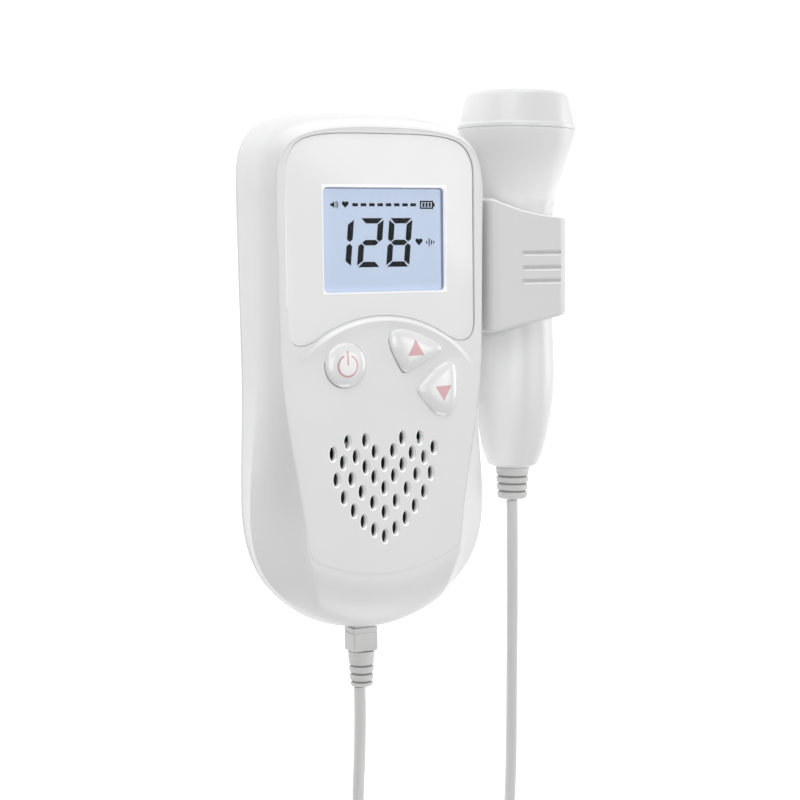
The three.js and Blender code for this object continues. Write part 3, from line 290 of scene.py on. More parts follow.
def punch(name, ring, low, high, edge):
    """A cutter that widens by a slanted edge where it comes out at high."""
    levels = [
        (inset_ring(ring, -edge - CUT_PAST), high + CUT_PAST),
        (inset_ring(ring, -edge), high),
        (ring, high - edge),
        (ring, low),
    ]
    return loft(name, levels)


def block(name, left, right, low, high, under, over):
    """A box between two places on each axis."""
    clear_selection()
    bpy.ops.mesh.primitive_cube_add(size=1)
    piece = bpy.context.object
    piece.name = name
    size = Vector((right - left, high - low, over - under)) * MM
    middle = Vector((left + right, low + high, under + over)) * MM / 2
    piece.data.transform(Matrix.Translation(middle) @ Matrix.Diagonal(size.to_4d()))
    return piece


def edit_all(piece, *steps):
    """Runs edit mode operators on the whole of a piece."""
    pick(piece)
    bpy.ops.object.mode_set(mode="EDIT")
    bpy.ops.mesh.select_all(action="SELECT")
    for step in steps:
        step()
    bpy.ops.object.mode_set(mode="OBJECT")


def merge_doubles():
    """Joins the vertices that share a place."""
    bpy.ops.mesh.remove_doubles(threshold=MERGE_REACH * MM)


def face_outward():
    """Turns every selected face outward."""
    bpy.ops.mesh.normals_make_consistent(inside=False)


def apply_modifier(piece, kind, **settings):
    """Adds one modifier and applies it."""
    pick(piece)
    modifier = piece.modifiers.new(kind.title(), kind)
    for setting, value in settings.items():
        setattr(modifier, setting, value)
    bpy.ops.object.modifier_apply(modifier=modifier.name)


def shade(piece, degrees=35, weighted=True):
    """Shades a piece smooth up to an angle, its large faces kept flat where weighted."""
    pick(piece)
    bpy.ops.object.shade_smooth_by_angle(angle=math.radians(degrees))
    if weighted:
        apply_modifier(piece, "WEIGHTED_NORMAL", keep_sharp=True, weight=60)


def lathe(name, profile, steps, place):
    """Spins a profile of (radius, height) about its axis, closes it and shades it at its place."""
    points = [(radius, 0, height) for radius, height in profile]
    piece = new_piece(name, points, [], [(i, i + 1) for i in range(len(points) - 1)])

    def spin():
        bpy.ops.mesh.spin(steps=steps, angle=2 * math.pi, center=(0, 0, 0), axis=(0, 0, 1))
        bpy.ops.mesh.select_all(action="SELECT")

    edit_all(piece, spin, merge_doubles, face_outward)
    piece.data.transform(place)
    shade(piece, 40, weighted=False)
    return piece


def join(pieces):
    """Joins pieces into the first of them."""
    pick(pieces[0])
    for piece in pieces[1:]:
        piece.select_set(True)
    bpy.ops.object.join()
    return pieces[0]


def combine(piece, others, operation="DIFFERENCE"):
    """Cuts other pieces, which don't touch each other, out of a piece, or adds them to it."""
    other = join(others)
    apply_modifier(piece, "BOOLEAN", object=other, operation=operation, solver="EXACT")
    bpy.data.meshes.remove(other.data)


def soften(node, name, edge):
    """A shaded copy of a solid, its triangles joined to faces and its edges rounded."""
    piece = frame["nodes"][node].copy()
    piece.data = piece.data.copy()
    piece.name = name
    for key in list(piece.keys()):
        del piece[key]
    piece.parent = None
    bpy.context.scene.collection.objects.link(piece)

    def join_flat_faces():
        bpy.ops.mesh.dissolve_limited(angle_limit=math.radians(1))

    edit_all(piece, merge_doubles, face_outward, join_flat_faces)
    angle = math.radians(30)
    apply_modifier(piece, "BEVEL", width=edge * MM, segments=3, limit_method="ANGLE", angle_limit=angle)
    shade(piece)
    return piece


def finish_piece(piece, finish, body, nodes):
    """Gives a finished piece its material and its body, and hides the solids that it stands for."""
    piece.data.materials.clear()
    piece.data.materials.append(finish)
    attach(piece, body)
    if nodes:
        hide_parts(*nodes)
    return piece


# Finishes


class Number:
    """A socket's number: arithmetic on it adds Math nodes."""

    def __init__(self, finish, socket):
        self.finish = finish
        self.socket = socket

    def __add__(self, other):
        return self.finish.math("ADD", self, other)

    def __radd__(self, other):
        return self.finish.math("ADD", other, self)

    def __sub__(self, other):
        return self.finish.math("SUBTRACT", self, other)

    def __rsub__(self, other):
        return self.finish.math("SUBTRACT", other, self)

    def __mul__(self, other):
        return self.finish.math("MULTIPLY", self, other)

    def __rmul__(self, other):
        return self.finish.math("MULTIPLY", other, self)

    def __neg__(self):
        return self.finish.math("MULTIPLY", self, -1)

    def __abs__(self):
        return self.finish.math("ABSOLUTE", self)

    def least(self, other):
        """The smaller of two numbers."""
        return self.finish.math("MINIMUM", self, other)

    def most(self, other):
        """The larger of two numbers."""
        return self.finish.math("MAXIMUM", self, other)

    def below(self, edge, softness=0.03):
        """1 where the number is under an edge and 0 above it."""
        node = self.finish.node(
            "ShaderNodeMapRange",
            {"interpolation_type": "SMOOTHSTEP"},
            {0: self, 1: edge - softness, 2: edge + softness, 3: 1.0, 4: 0.0},
        )
        return Number(self.finish, node.outputs[0])


class Finish:
    """A material of one Principled shader, with what varies over its surface."""

    def __init__(self, name, colour, **constants):
        self.material = bpy.data.materials.new(name)
        self.material.use_nodes = True
        self.tree = self.material.node_tree
        self.shader = self.tree.nodes["Principled BSDF"]
        self.place = self.node("ShaderNodeTexCoord").outputs["Object"]
        self.colour = (*colour, 1.0)
        self.constants(**constants)

    def constants(self, **values):
        """Sets the shader's own sockets, named with underscores for spaces."""
        for name, value in values.items():
            self.shader.inputs[name.replace("_", " ").title().replace("Ior", "IOR")].default_value = value

    def node(self, kind, settings=None, inputs=None):
        """Adds a node: its settings first, then the values or links of its inputs."""
        node = self.tree.nodes.new(kind)
        for name, value in (settings or {}).items():
            setattr(node, name, value)
        for name, value in (inputs or {}).items():
            self.feed(node.inputs[name], value)
        return node

    def feed(self, socket, value):
        """Links a socket, or sets its value."""
        if isinstance(value, Number):
            value = value.socket
        if isinstance(value, bpy.types.NodeSocket):
            self.tree.links.new(value, socket)
        else:
            socket.default_value = value

    def math(self, operation, *values):
        """A Math node on one, two or three numbers."""
        node = self.node("ShaderNodeMath", {"operation": operation}, dict(enumerate(values)))
        return Number(self, node.outputs[0])

    def axes(self):
        """The place on the surface along x, y and z, in millimetres."""
        scaled = self.node(
            "ShaderNodeVectorMath", {"operation": "SCALE"}, {0: self.place, "Scale": 1 / MM}
        ).outputs[0]
        split = self.node("ShaderNodeSeparateXYZ", None, {0: scaled})
        return [Number(self, socket) for socket in split.outputs]

    def facing(self):
        """The way that the surface faces, along x, y and z."""
        normal = self.node("ShaderNodeNewGeometry").outputs["Normal"]
        split = self.node("ShaderNodeSeparateXYZ", None, {0: normal})
        return [Number(self, socket) for socket in split.outputs]

    def noise(self, size, detail, stretch=(1, 1, 1)):
        """Noise from 0 to 1 whose patches are about a size in millimetres."""
        place = self.node("ShaderNodeMapping", None, {"Vector": self.place, "Scale": stretch}).outputs[0]
        node = self.node(
            "ShaderNodeTexNoise", None, {"Vector": place, "Scale": 1 / (size * MM), "Detail": detail}
        )
        return Number(self, node.outputs[0])

    def tint(self, share, colour):
        """Mixes a colour into the base colour by a share."""
        node = self.node(
            "ShaderNodeMix",
            {"data_type": "RGBA"},
            {0: share, 6: self.colour, 7: (*colour[:3], 1.0)},
        )
        self.colour = node.outputs[2]

    def relief(self, height, distance):
        """Bumps the surface by a height from 0 to 1 over a distance in millimetres."""
        node = self.node(
            "ShaderNodeBump", None, {"Strength": 1.0, "Distance": distance * MM, "Height": height}
        )
        self.feed(self.shader.inputs["Normal"], node.outputs[0])

    def done(self):
        """Links the base colour and hands over the material."""
        self.feed(self.shader.inputs["Base Color"], self.colour)
        return self.material


def shaded(colour, share):
    """A colour made darker or lighter by a share."""
    return tuple(min(1.0, channel * share) for channel in colour[:3])


WHITE = (1, 1, 1)
# Size of each kind of patch in the plastic, in millimetres: flow clouds, handling, specks and grain
CLOUD_SIZE = 22
HANDLED_SIZE = 6
SPECK_SIZE = 0.5
GRAIN_SIZE = 0.22


def moulded(name, colour, roughness, grain=0.004, coat=0.0):
    """Injection moulded plastic: faint flow clouds, fine grain and uneven gloss."""
    finish = Finish(name, colour, coat_weight=coat, coat_roughness=0.06, ior=1.49)
    cloud = finish.noise(CLOUD_SIZE, 3)
    finish.tint(cloud.below(0.52, 0.2) * 0.6, shaded(colour, 0.972))
    handled = finish.noise(HANDLED_SIZE, 4)
    speck = finish.noise(SPECK_SIZE, 1)
    finish.feed(finish.shader.inputs["Roughness"], handled * 0.09 + speck * 0.05 + (roughness - 0.07))
    finish.relief(finish.noise(GRAIN_SIZE, 2) * 0.7 + handled * 0.3, grain)
    return finish


# The case


# Each outline's right half, from its top middle to its bottom middle, as in the solids.
SEAM = {
    "top": 67.5,
    "half": 33.4,
    "corner": 20,
    "waist_half": 32.7,
    "waist_y": 1,
    "bulge": 33.4,
    "bulge_y": -33,
    "slope": 0,
    "lower_x": 17.6,
    "lower_y": -63.5,
    "bottom": -68.7,
}
SHOULDER = {
    "top": 66.4,
    "half": 32,
    "corner": 19.5,
    "waist_half": 32,
    "waist_y": 3,
    "bulge": 34.4,
    "bulge_y": -36,
    "slope": 0,
    "lower_x": 18.5,
    "lower_y": -62.4,
    "bottom": -67.4,
}
CREASE = {
    "top": 62.5,
    "half": 29.7,
    "corner": 18,
    "waist_half": 29.2,
    "waist_y": 11,
    "bulge": 23.7,
    "bulge_y": -33,
    "slope": 0.17,
    "lower_x": 21.2,
    "lower_y": -47,
    "bottom": -52.5,
}
BACK = {
    "top": 64.9,
    "half": 24.4,
    "corner": 18,
    "waist_half": 24.4,
    "waist_y": 2,
    "bulge": 25.2,
    "bulge_y": -33,
    "slope": 0,
    "lower_x": 13.5,
    "lower_y": -59.1,
    "bottom": -64.1,
}
STRETCH_STEPS = [26, 6, 14, 24, 16]
# How roundly the front turns to the side along a half ring: 0 is a flat facet, 1 a quarter round
CORNER_ROUND = 0.5
SIDE_ROUND = 0.2
WAIST_ROUND = 0.05
FOOT_ROUND = 1
DEPTH = 33
SEAM_Z = 16.5
SHOULDER_Z = 24
# The side between the shoulder and the seam: shares of the way down, and how far it bows out
SIDE_LEVELS = (0.25, 0.5, 0.75)
SIDE_BOW = 1.5
# How far the rear flank has drawn in from the seam to the back, and how high that is above the back
FLANK = [(0, 1), (0.28, 0.7), (0.55, 0.4), (0.8, 0.15), (0.94, 0.04), (1, 0)]


def half_ring(outline):
    """The right half of an outline: curves from its top middle through its waist to its bottom middle."""
    top, half, corner = outline["top"], outline["half"], outline["corner"]
    waist, waist_y = outline["waist_half"], outline["waist_y"]
    bulge, bulge_y, slope = outline["bulge"], outline["bulge_y"], outline["slope"]
    lower, lower_y, bottom = outline["lower_x"], outline["lower_y"], outline["bottom"]
    waist_run, lower_run, foot_run = waist_y - bulge_y, bulge_y - lower_y, lower_y - bottom
    stretches = [
        [(0, top), (0.88 * half, top), (half, top - 0.2 * corner), (half, top - corner)],
        [(half, top - corner), (waist, waist_y)],
        [
            (waist, waist_y),
            (waist, waist_y - 0.4 * waist_run),
            (bulge + slope * 0.35 * waist_run, bulge_y + 0.35 * waist_run),
            (bulge, bulge_y),
        ],
        [
            (bulge, bulge_y),
            (bulge - slope * 0.53 * lower_run, bulge_y - 0.53 * lower_run),
            (lower + 0.61 * (bulge - lower), lower_y + 0.21 * lower_run),
            (lower, lower_y),
        ],
        [(lower, lower_y), (0.68 * lower, bottom + 0.35 * foot_run), (0.34 * lower, bottom), (0, bottom)],
    ]
    ring = []
    for stretch, steps in zip(stretches, STRETCH_STEPS):
        ring += bezier(stretch, steps)[1 if ring else 0 :]
    return ring


def roundness():
    """How roundly each point of a half ring turns to the side."""
    corner, side, waist, lower, foot = STRETCH_STEPS
    shares = [CORNER_ROUND] * (corner + 1) + [SIDE_ROUND] * side
    shares += [between(SIDE_ROUND, WAIST_ROUND, min(1, 2 * i / waist)) for i in range(1, waist + 1)]
    shares += [between(WAIST_ROUND, FOOT_ROUND, (i / lower) ** 3) for i in range(1, lower + 1)]
    return shares + [FOOT_ROUND] * foot


def whole(half):
    """The ring of a right half and its mirror image."""
    return half + [Vector((-p.x, p.y)) for p in half[-2:0:-1]]


CREASE_RING, SHOULDER_RING, SEAM_RING, BACK_RING = map(half_ring, (CREASE, SHOULDER, SEAM, BACK))
ROUNDNESS = roundness()


def front_levels(inset, foot, turns):
    """The rings of the front half, from the front face to the seam, moved inward by a wall."""
    levels = []
    for i in range(turns + 1):
        angle = math.pi / 2 * i / turns
        down, out = 1 - math.cos(angle), math.sin(angle)
        half = [
            crease.lerp(shoulder, between(down, out, share))
            for crease, shoulder, share in zip(CREASE_RING, SHOULDER_RING, ROUNDNESS)
        ]
        height = between(DEPTH, SHOULDER_Z, down) - inset * math.cos(angle)
        levels.append((inset_ring(whole(half), inset), height))
    for share in SIDE_LEVELS:
        bow = 1 - (1 - share) ** SIDE_BOW
        half = [a.lerp(b, bow) for a, b in zip(SHOULDER_RING, SEAM_RING)]
        levels.append((inset_ring(whole(half), inset), between(SHOULDER_Z, SEAM_Z, share)))
    levels.append((inset_ring(whole(SEAM_RING), inset), foot))
    return levels


def rear_levels(inset, head, steps):
    """The rings of the rear half, from the seam to the flat back, moved inward by a wall."""
    levels = [(inset_ring(whole(SEAM_RING), inset), head)]
    for inwards, up in through(FLANK, steps)[1:]:
        half = [a.lerp(b, inwards) for a, b in zip(SEAM_RING, BACK_RING)]
        levels.append((inset_ring(whole(half), inset), between(inset, SEAM_Z, up)))
    return levels


# The screen surround
PANEL_HALF = 26.7
PANEL_TOP = 60.9
PANEL_CORNER = 10.5
PANEL_FOOT = 12.8
ARCH_RADIUS = 35
ARCH_END = 18.6
ARCH_Y = 15.1 - ARCH_RADIUS
PANEL_Z = 32.5
PANEL_UNDER = 31.3
POCKET_Z = 31
POCKET_FLOOR = 1.5
WINDOW = {"width": 35.3, "height": 26.6, "radius": 1.2, "x": 1.05, "y": 34.25}
GLASS_HOLE = (-21.3, 21.3, 16, 50.6, 28, 34)
# How far the recess's wall leans out for each millimetre of its rise, at its sides and along the arch
SIDE_FLARE = 0.24
ARCH_FLARE = 1.05
# Where the lean of the arch ends: half its width, the fade before that, and its top
FLARE_HALF = 24
FLARE_FADE = 10
FLARE_TOP = 30
FLARE_RISES = (2.5, 1)


def panel_ring(grow):
    """The ring round the screen surround, grown by a distance."""
    side, top, corner = PANEL_HALF + grow, PANEL_TOP + grow, PANEL_CORNER
    radius, end = ARCH_RADIUS - grow, ARCH_END
    rise = math.sqrt(radius**2 - end**2)
    foot_y = ARCH_Y + rise
    lead = (side - end) / 2
    lower_y = foot_y - lead * end / rise
    shoulder = (side - corner / 9, top - corner / 2)
    half = bezier([(0, top), (side - corner, top), (side - corner / 3, top), shoulder], 16)
    half += bezier([shoulder, (side, top - 2 * corner / 3), (side, top - corner)], 6)[1:]
    foot = bezier([(side, PANEL_FOOT), (side, lower_y), (end + lead, lower_y), (end, foot_y)], 14)
    arch = arc(0, ARCH_Y, radius, math.atan2(rise, end), math.pi / 2, 24)
    return whole(half + foot + arch[1:])


def window_ring(grow):
    """The ring round the window, grown by a distance."""
    width, height = WINDOW["width"] + 2 * grow, WINDOW["height"] + 2 * grow
    return rounded_box(width, height, WINDOW["radius"] + grow, WINDOW["x"], WINDOW["y"])


def pocket_cutter():
    """The cutter of the screen recess, whose wall leans outward, most of all along the arch."""
    wall = panel_ring(GAP)
    outward = [a - b for a, b in zip(inset_ring(wall, -1), wall)]
    flares = []
    for point in wall:
        share = eased((FLARE_HALF - abs(point.x)) / FLARE_FADE) if point.y < FLARE_TOP else 0
        flares.append(between(SIDE_FLARE, ARCH_FLARE, share))
    levels = [
        ([p + out * flare * rise for p, out, flare in zip(wall, outward, flares)], PANEL_Z + rise)
        for rise in FLARE_RISES
    ]
    return loft("pocket", [*levels, (wall, PANEL_Z), (wall, POCKET_Z)])


# The keys
POWER_PLACE = (-11.3, 2.5)
POWER_RADIUS = 5.75
POWER_STEPS = 72
# Each corner of the arrow keys, how round it is and how far the side after it bows
UP_CORNERS = [(0.64, 12, 5.04, 1.65), (17.64, 5.83, 2.4, 0.2), (5.44, -0.43, 1.5, 1.2)]
DOWN_CORNERS = [(20.45, 3.68, 4.2, 1.08), (8.93, -4.77, 1.7, 1.42), (19.36, -13.76, 5.46, 1.64)]
CORNER_STEPS = 12
# How far a corner moves out for each millimetre that its ring grows, and a key's gap to its hole
KEY_REACH = 1.6
KEY_GAP = 0.12


def triangle_ring(corners, grow):
    """The clockwise ring round a rounded triangle with bowed sides, grown by a distance."""
    middle = sum((Vector(c[:2]) for c in corners), Vector((0, 0))) / 3
    points = []
    for corner in corners:
        away = Vector(corner[:2]) - middle
        points.append(middle + away.normalized() * (away.length + KEY_REACH * grow))
    bows = []
    for i, corner in enumerate(corners):
        bow = (points[i] + points[(i + 1) % 3]) / 2
        bows.append(bow + (bow - middle).normalized() * corner[3])
    ring = []
    for i, corner in enumerate(points):
        size = corners[i][2] + grow / 2
        enter, leave = (corner + (bow - corner).normalized() * size for bow in (bows[i - 1], bows[i]))
        after = points[(i + 1) % 3]
        onward = after + (bows[i] - after).normalized() * (corners[(i + 1) % 3][2] + grow / 2)
        ring += bezier([enter, corner, leave], CORNER_STEPS)[:-1]
        ring += bezier([leave, bows[i], onward], CORNER_STEPS)[:-1]
    return ring


def key_rings(grow):
    """The rings of the three keys, grown by a distance."""
    size = 2 * (POWER_RADIUS + grow)
    return {
        "power": ellipse(*POWER_PLACE, size, size, POWER_STEPS),
        "up": triangle_ring(UP_CORNERS, grow),
        "down": triangle_ring(DOWN_CORNERS, grow),
    }


# The grille
GRILLE_HALF = 14.7
GRILLE_X = -0.35
GRILLE_TOP = -17.05
GRILLE_HEIGHT = 25.3
SLOT_WIDTH = 1.9
SLOT_HEIGHT = 3.8
SLOT_STEPS = 28
# Shares of the grille's half width and of its height: the outer heart, then the inner one
SIDE_SLOT_SHARES = [
    (0.182, 0.123),
    (0.367, 0),
    (0.714, 0.006),
    (1, 0.117),
    (0.935, 0.381),
    (0.797, 0.57),
    (0.606, 0.71),
    (0.418, 0.83),
    (0.211, 0.925),
    (0.195, 0.382),
    (0.368, 0.272),
    (0.556, 0.16),
    (0.805, 0.211),
    (0.644, 0.385),
    (0.448, 0.524),
    (0.225, 0.643),
]
MIDDLE_SLOT_SHARES = [0.25, 0.5, 0.749, 1]


def slot_places():
    """The middles of the grille's slots: two nested hearts and a middle row."""
    places = [(GRILLE_X, GRILLE_TOP - down * GRILLE_HEIGHT) for down in MIDDLE_SLOT_SHARES]
    for across, down in SIDE_SLOT_SHARES:
        for side in (1, -1):
            places.append((GRILLE_X + side * across * GRILLE_HALF, GRILLE_TOP - down * GRILLE_HEIGHT))
    return places


# What both shells share: holes as (left, right, low, high, under, over), screws, and the seam's rounded lip
PLUG_HOLE = (-3.3, 3.3, -69.7, -62.7, 14, 19)
HOLDER_SLOT = (29.4, 35.4, 19.1, 35.7, 12.7, 20.3)
SCREW_PLACES = [(-20.9, 54.2), (20.9, 54.2), (-21.8, -31), (21.8, -31)]
LIP_IN = 0.2
LIP_RISE = 0.25


def seam_lip(wall, height):
    """The rings of a shell's edge at the seam, from its outside to its inside."""
    return [(inset_ring(whole(SEAM_RING), inwards), height) for inwards in (LIP_IN, wall)]


# The arched ridge: how far each point of its section lies outside the arch, and its share of the height
RIDGE_SECTION = [
    (0.3, -0.6),
    (0.1, -0.02),
    (-0.2, 0.2),
    (-0.55, 0.6),
    (-0.85, 0.92),
    (-1.05, 1),
    (-1.35, 0.97),
    (-1.85, 0.78),
    (-2.6, 0.5),
    (-3.6, 0.24),
    (-4.8, 0.07),
    (-6, -0.04),
    (-6, -0.6),
]
RIDGE_HALF = 27.4
RIDGE_STEPS = 96
RIDGE_FADE = 0.3
RIDGE_END_WIDTH = 0.4
RIDGE_END_SINK = 0.03
RIDGE_UNDERSIDE = -0.4


def ridge(height):
    """The arched ridge under the screen: steep towards the panel and gentle towards the keys."""
    reach = math.asin(RIDGE_HALF / ARCH_RADIUS)
    points = []
    for i in range(RIDGE_STEPS + 1):
        angle = between(-reach, reach, i / RIDGE_STEPS)
        fade = eased((reach - abs(angle)) / RIDGE_FADE)
        for out, rise in RIDGE_SECTION:
            radius = ARCH_RADIUS - GAP + out * between(RIDGE_END_WIDTH, 1, fade)
            lift = height * rise * fade - RIDGE_END_SINK * (1 - fade) if rise > -0.5 else RIDGE_UNDERSIDE
            points.append((radius * math.sin(angle), ARCH_Y + radius * math.cos(angle), DEPTH + lift))
    piece = skin("arch_ridge", points, len(RIDGE_SECTION))
    edit_all(piece, face_outward)
    return piece


# The screw posts and the battery door
POST_TOP = 20.7
DOOR_TOP = 1.85
DOOR_FOOT = 2.5
# The keys' domes: edge and top, and the rings from the middle outward, the first a part of a step out
KEY_EDGE_Z = 33.25
KEY_TOP_Z = 34.8
KEY_LEVELS = 14
KEY_START = 0.25
# The dome's section: how flat its middle stays, and how full its edge is
KEY_CROWN = 2.4
KEY_FULLNESS = 1.8
FLANGE_TOP = 30.7
FLANGE_SIZE = 1

# The display's glass, and on it each figure's left end and lit strokes
GLASS_TOP = 31
FIGURES = [(-14.55, "bc"), (-6, "abged"), (2.42, "abcdefg")]
FIGURE_FOOT = 27.27
FIGURE_WIDTH = 6.75
FIGURE_SLANT = 0.09
FIGURE_STROKE = (1.6, 1.36)
FIGURE_CORNER = 0.32
FIGURE_SLIT = 0.14
# How far the strokes' faces lie over the glass
FIGURE_TOP = 0.05
FIGURE_UNDER = 0.01
# The row above the figures: sound, heart, dashes and battery
ROW_Y = 43.18
DASH_FROM = -7.67
DASH_PITCH = 2.41
DASH_COUNT = 8
DASH_SIZE = (1.58, 0.78)
SOUND_BOX = [(-13.9, 42.85), (-13.4, 42.85), (-12.8, 42.25), (-12.8, 44.1), (-13.4, 43.5), (-13.9, 43.5)]
SOUND_X = -13
SOUND_RADII = (0.75, 1.2)
SOUND_ANGLE = 48
SOUND_LINE = 0.2
BATTERY_X = 13.95
BATTERY_SIZE = (3.9, 2.1)
BATTERY_LINE = 0.36
# Two hearts: place and size
HEARTS = [(-9.7, ROW_Y, 1.9), (11.6, 33.55, 2.1)]
# The small wave beside the figures: place, spacing, width and heights of its bars
WAVE_PLACE = (13.9, 33.5)
WAVE_PITCH = 0.7
WAVE_WIDTH = 0.3
WAVE_HEIGHTS = (0.7, 2, 1.2, 0.7)


def figure_stroke(segment, height):
    """The corners of one of the seven strokes of a figure."""
    wide = FIGURE_WIDTH
    across, thick = FIGURE_STROKE
    middle = height / 2
    if segment == "g":
        upper = [
            (across * 0.65, middle),
            (across * 1.18, middle + thick / 2),
            (wide - across * 1.18, middle + thick / 2),
        ]
        return upper + [(wide - x, height - y) for x, y in upper]
    if segment in "ad":
        lead, inner = FIGURE_CORNER, across + FIGURE_SLIT
        stroke = [
            (lead, height),
            (wide - lead, height),
            (wide - inner, height - thick),
            (inner, height - thick),
        ]
        return stroke if segment == "a" else [(x, height - y) for x, y in stroke]
    outer, inner = (wide, wide - across) if segment in "bc" else (0, across)
    stroke = [
        (outer, height - FIGURE_CORNER - FIGURE_SLIT),
        (inner, height - thick - 2 * FIGURE_SLIT),
        (inner, middle + 0.62 * thick),
        ((outer + inner) / 2, middle + 1.8 * FIGURE_SLIT),
        (outer, middle + 0.62 * thick),
    ]
    return stroke if segment in "bf" else [(x, height - y) for x, y in stroke]


def box_corners(x, y, width, height):
    """The corners of a box round a middle."""
    right, high = width / 2, height / 2
    return [(x - right, y - high), (x + right, y - high), (x + right, y + high), (x - right, y + high)]


def curved_stroke(x, y, radius, width, start, finish):
    """The corners of a strip along an arc, its angles in degrees."""
    start, finish = math.radians(start), math.radians(finish)
    outer = arc(x, y, radius + width / 2, start, finish, 10)
    inner = arc(x, y, radius - width / 2, finish, start, 10)
    return [tuple(p) for p in outer + inner]


def heart(x, y, size):
    """The corners of a heart."""
    corners = []
    for i in range(32):
        t = 2 * math.pi * i / 32
        across = 16 * math.sin(t) ** 3
        up = 13 * math.cos(t) - 5 * math.cos(2 * t) - 2 * math.cos(3 * t) - math.cos(4 * t)
        corners.append((x + size * across / 32, y + size * (up + 2.5) / 32))
    return corners


def battery_mark(x, y):
    """The strokes of a full battery: its frame, its tip and three bars."""
    wide, high = BATTERY_SIZE
    line = BATTERY_LINE
    marks = [box_corners(x, y + side * (high - line) / 2, wide, line) for side in (-1, 1)]
    marks += [box_corners(x + side * (wide - line) / 2, y, line, high) for side in (-1, 1)]
    marks += [box_corners(x + wide / 2 + 0.2, y, 0.44, 1)]
    marks += [box_corners(x + 0.92 * i, y, 0.6, 1.1) for i in (-1, 0, 1)]
    return marks


def display_marks(height):
    """The outlines of all marks on the display."""
    marks = []
    for start, segments in FIGURES:
        for segment in segments:
            stroke = figure_stroke(segment, height)
            marks.append([(start + x + FIGURE_SLANT * (y - height / 2), FIGURE_FOOT + y) for x, y in stroke])
    for i in range(DASH_COUNT):
        middle = DASH_FROM + DASH_SIZE[0] / 2 + i * DASH_PITCH
        marks.append(box_corners(middle, ROW_Y, *DASH_SIZE))
    marks += battery_mark(BATTERY_X, ROW_Y)
    marks.append(SOUND_BOX)
    for radius in SOUND_RADII:
        marks.append(curved_stroke(SOUND_X, ROW_Y, radius, SOUND_LINE, -SOUND_ANGLE, SOUND_ANGLE))
    marks += [heart(*place) for place in HEARTS]
    wave_x, wave_y = WAVE_PLACE
    for i, high in enumerate(WAVE_HEIGHTS):
        marks.append(box_corners(wave_x + WAVE_PITCH * i, wave_y, WAVE_WIDTH, high))
    return marks


def display_figures(height):
    """The display's figures as thin flat strokes on its glass."""
    points, faces = [], []
    for corners in display_marks(height):
        turning = sum(a[0] * b[1] - b[0] * a[1] for a, b in zip(corners, corners[1:] + corners[:1]))
        ring = corners if turning > 0 else corners[::-1]
        first, count = len(points), len(ring)
        points += [(x, y, GLASS_TOP + FIGURE_TOP) for x, y in ring]
        points += [(x, y, GLASS_TOP + FIGURE_UNDER) for x, y in ring]
        faces.append(tuple(range(first, first + count)))
        faces.append(tuple(range(first + 2 * count - 1, first + count - 1, -1)))
        for i in range(count):
            j = (i + 1) % count
            faces.append((first + j, first + i, first + count + i, first + count + j))
    return new_piece("display_figures", points, faces)


# The probe holder
HOLDER_Z = 16.9
HOLDER_CLEAR = 11.7
HOLDER_WALL = 2
HOLDER_HALF = HOLDER_CLEAR + HOLDER_WALL
HOLDER_BEND = 5
HOLDER_FACE = 33.7
HOLDER_REACH = 59.6
HOLDER_FAR = HOLDER_REACH - HOLDER_WALL / 2
HOLDER_TOP = 45.8
HOLDER_BOTTOM = 9
HOLDER_TIP_TOP = 40.2
HOLDER_TIP_BOTTOM = 13.6
HOLDER_KEY = (32.1, 35.3, 19.4, 35.4, 13, 20)
# Radius of the bend where the clip's front leaves the case, and of the corners at its two ends
ROOT_BEND = 1.8
CLIP_CORNER = 1.6
# The clip is thinned over this share of half its wall at each end, to no less than the second share
THIN_REACH = 0.8
THIN_SHARE = 0.12
# How round the clip's rims are, as a share of half its wall
RIM_ROUND = 0.96
# The grip on the front plate: the place of each groove up the case, and the size that they share
GRIP_GROOVES = [30.4, 26.4, 22.8]
GRIP_X = 49.8
GRIP_LENGTH = 12.4
GRIP_WIDTH = 0.8
GRIP_ROUND = 0.39
GRIP_DEPTH = 0.5
GRIP_EDGE = 0.4
# The base's outline: how far out from the case's face, and how far up from the clip's underside
BASE_OUTLINE = [(1.2, 5), (2.2, 2.4), (5.5, 1.2), (6, 0)]
BASE_RISE = 2
BASE_BELOW_TOP = 1
BASE_ABOVE_BOTTOM = 0.4
BASE_EDGE = 0.3


def holder_path():
    """The clip's middle line, from the end of one arm round the root to the end of the other."""
    half = HOLDER_WALL / 2
    line = HOLDER_CLEAR + half
    bend = HOLDER_BEND - half
    root = HOLDER_FACE + half
    turn_x = HOLDER_REACH - HOLDER_BEND
    front = arc(turn_x, line - bend, bend, 0, math.pi / 2, 14)
    front += [Vector((between(turn_x, root + ROOT_BEND, i / 12), line)) for i in range(1, 12)]
    front += bezier([(root + ROOT_BEND, line), (root, line), (root, line - ROOT_BEND)], 12)
    front += [Vector((root, between(line - ROOT_BEND, 0, i / 6))) for i in range(1, 7)]
    return front + [Vector((p.x, -p.y)) for p in front[-2::-1]]


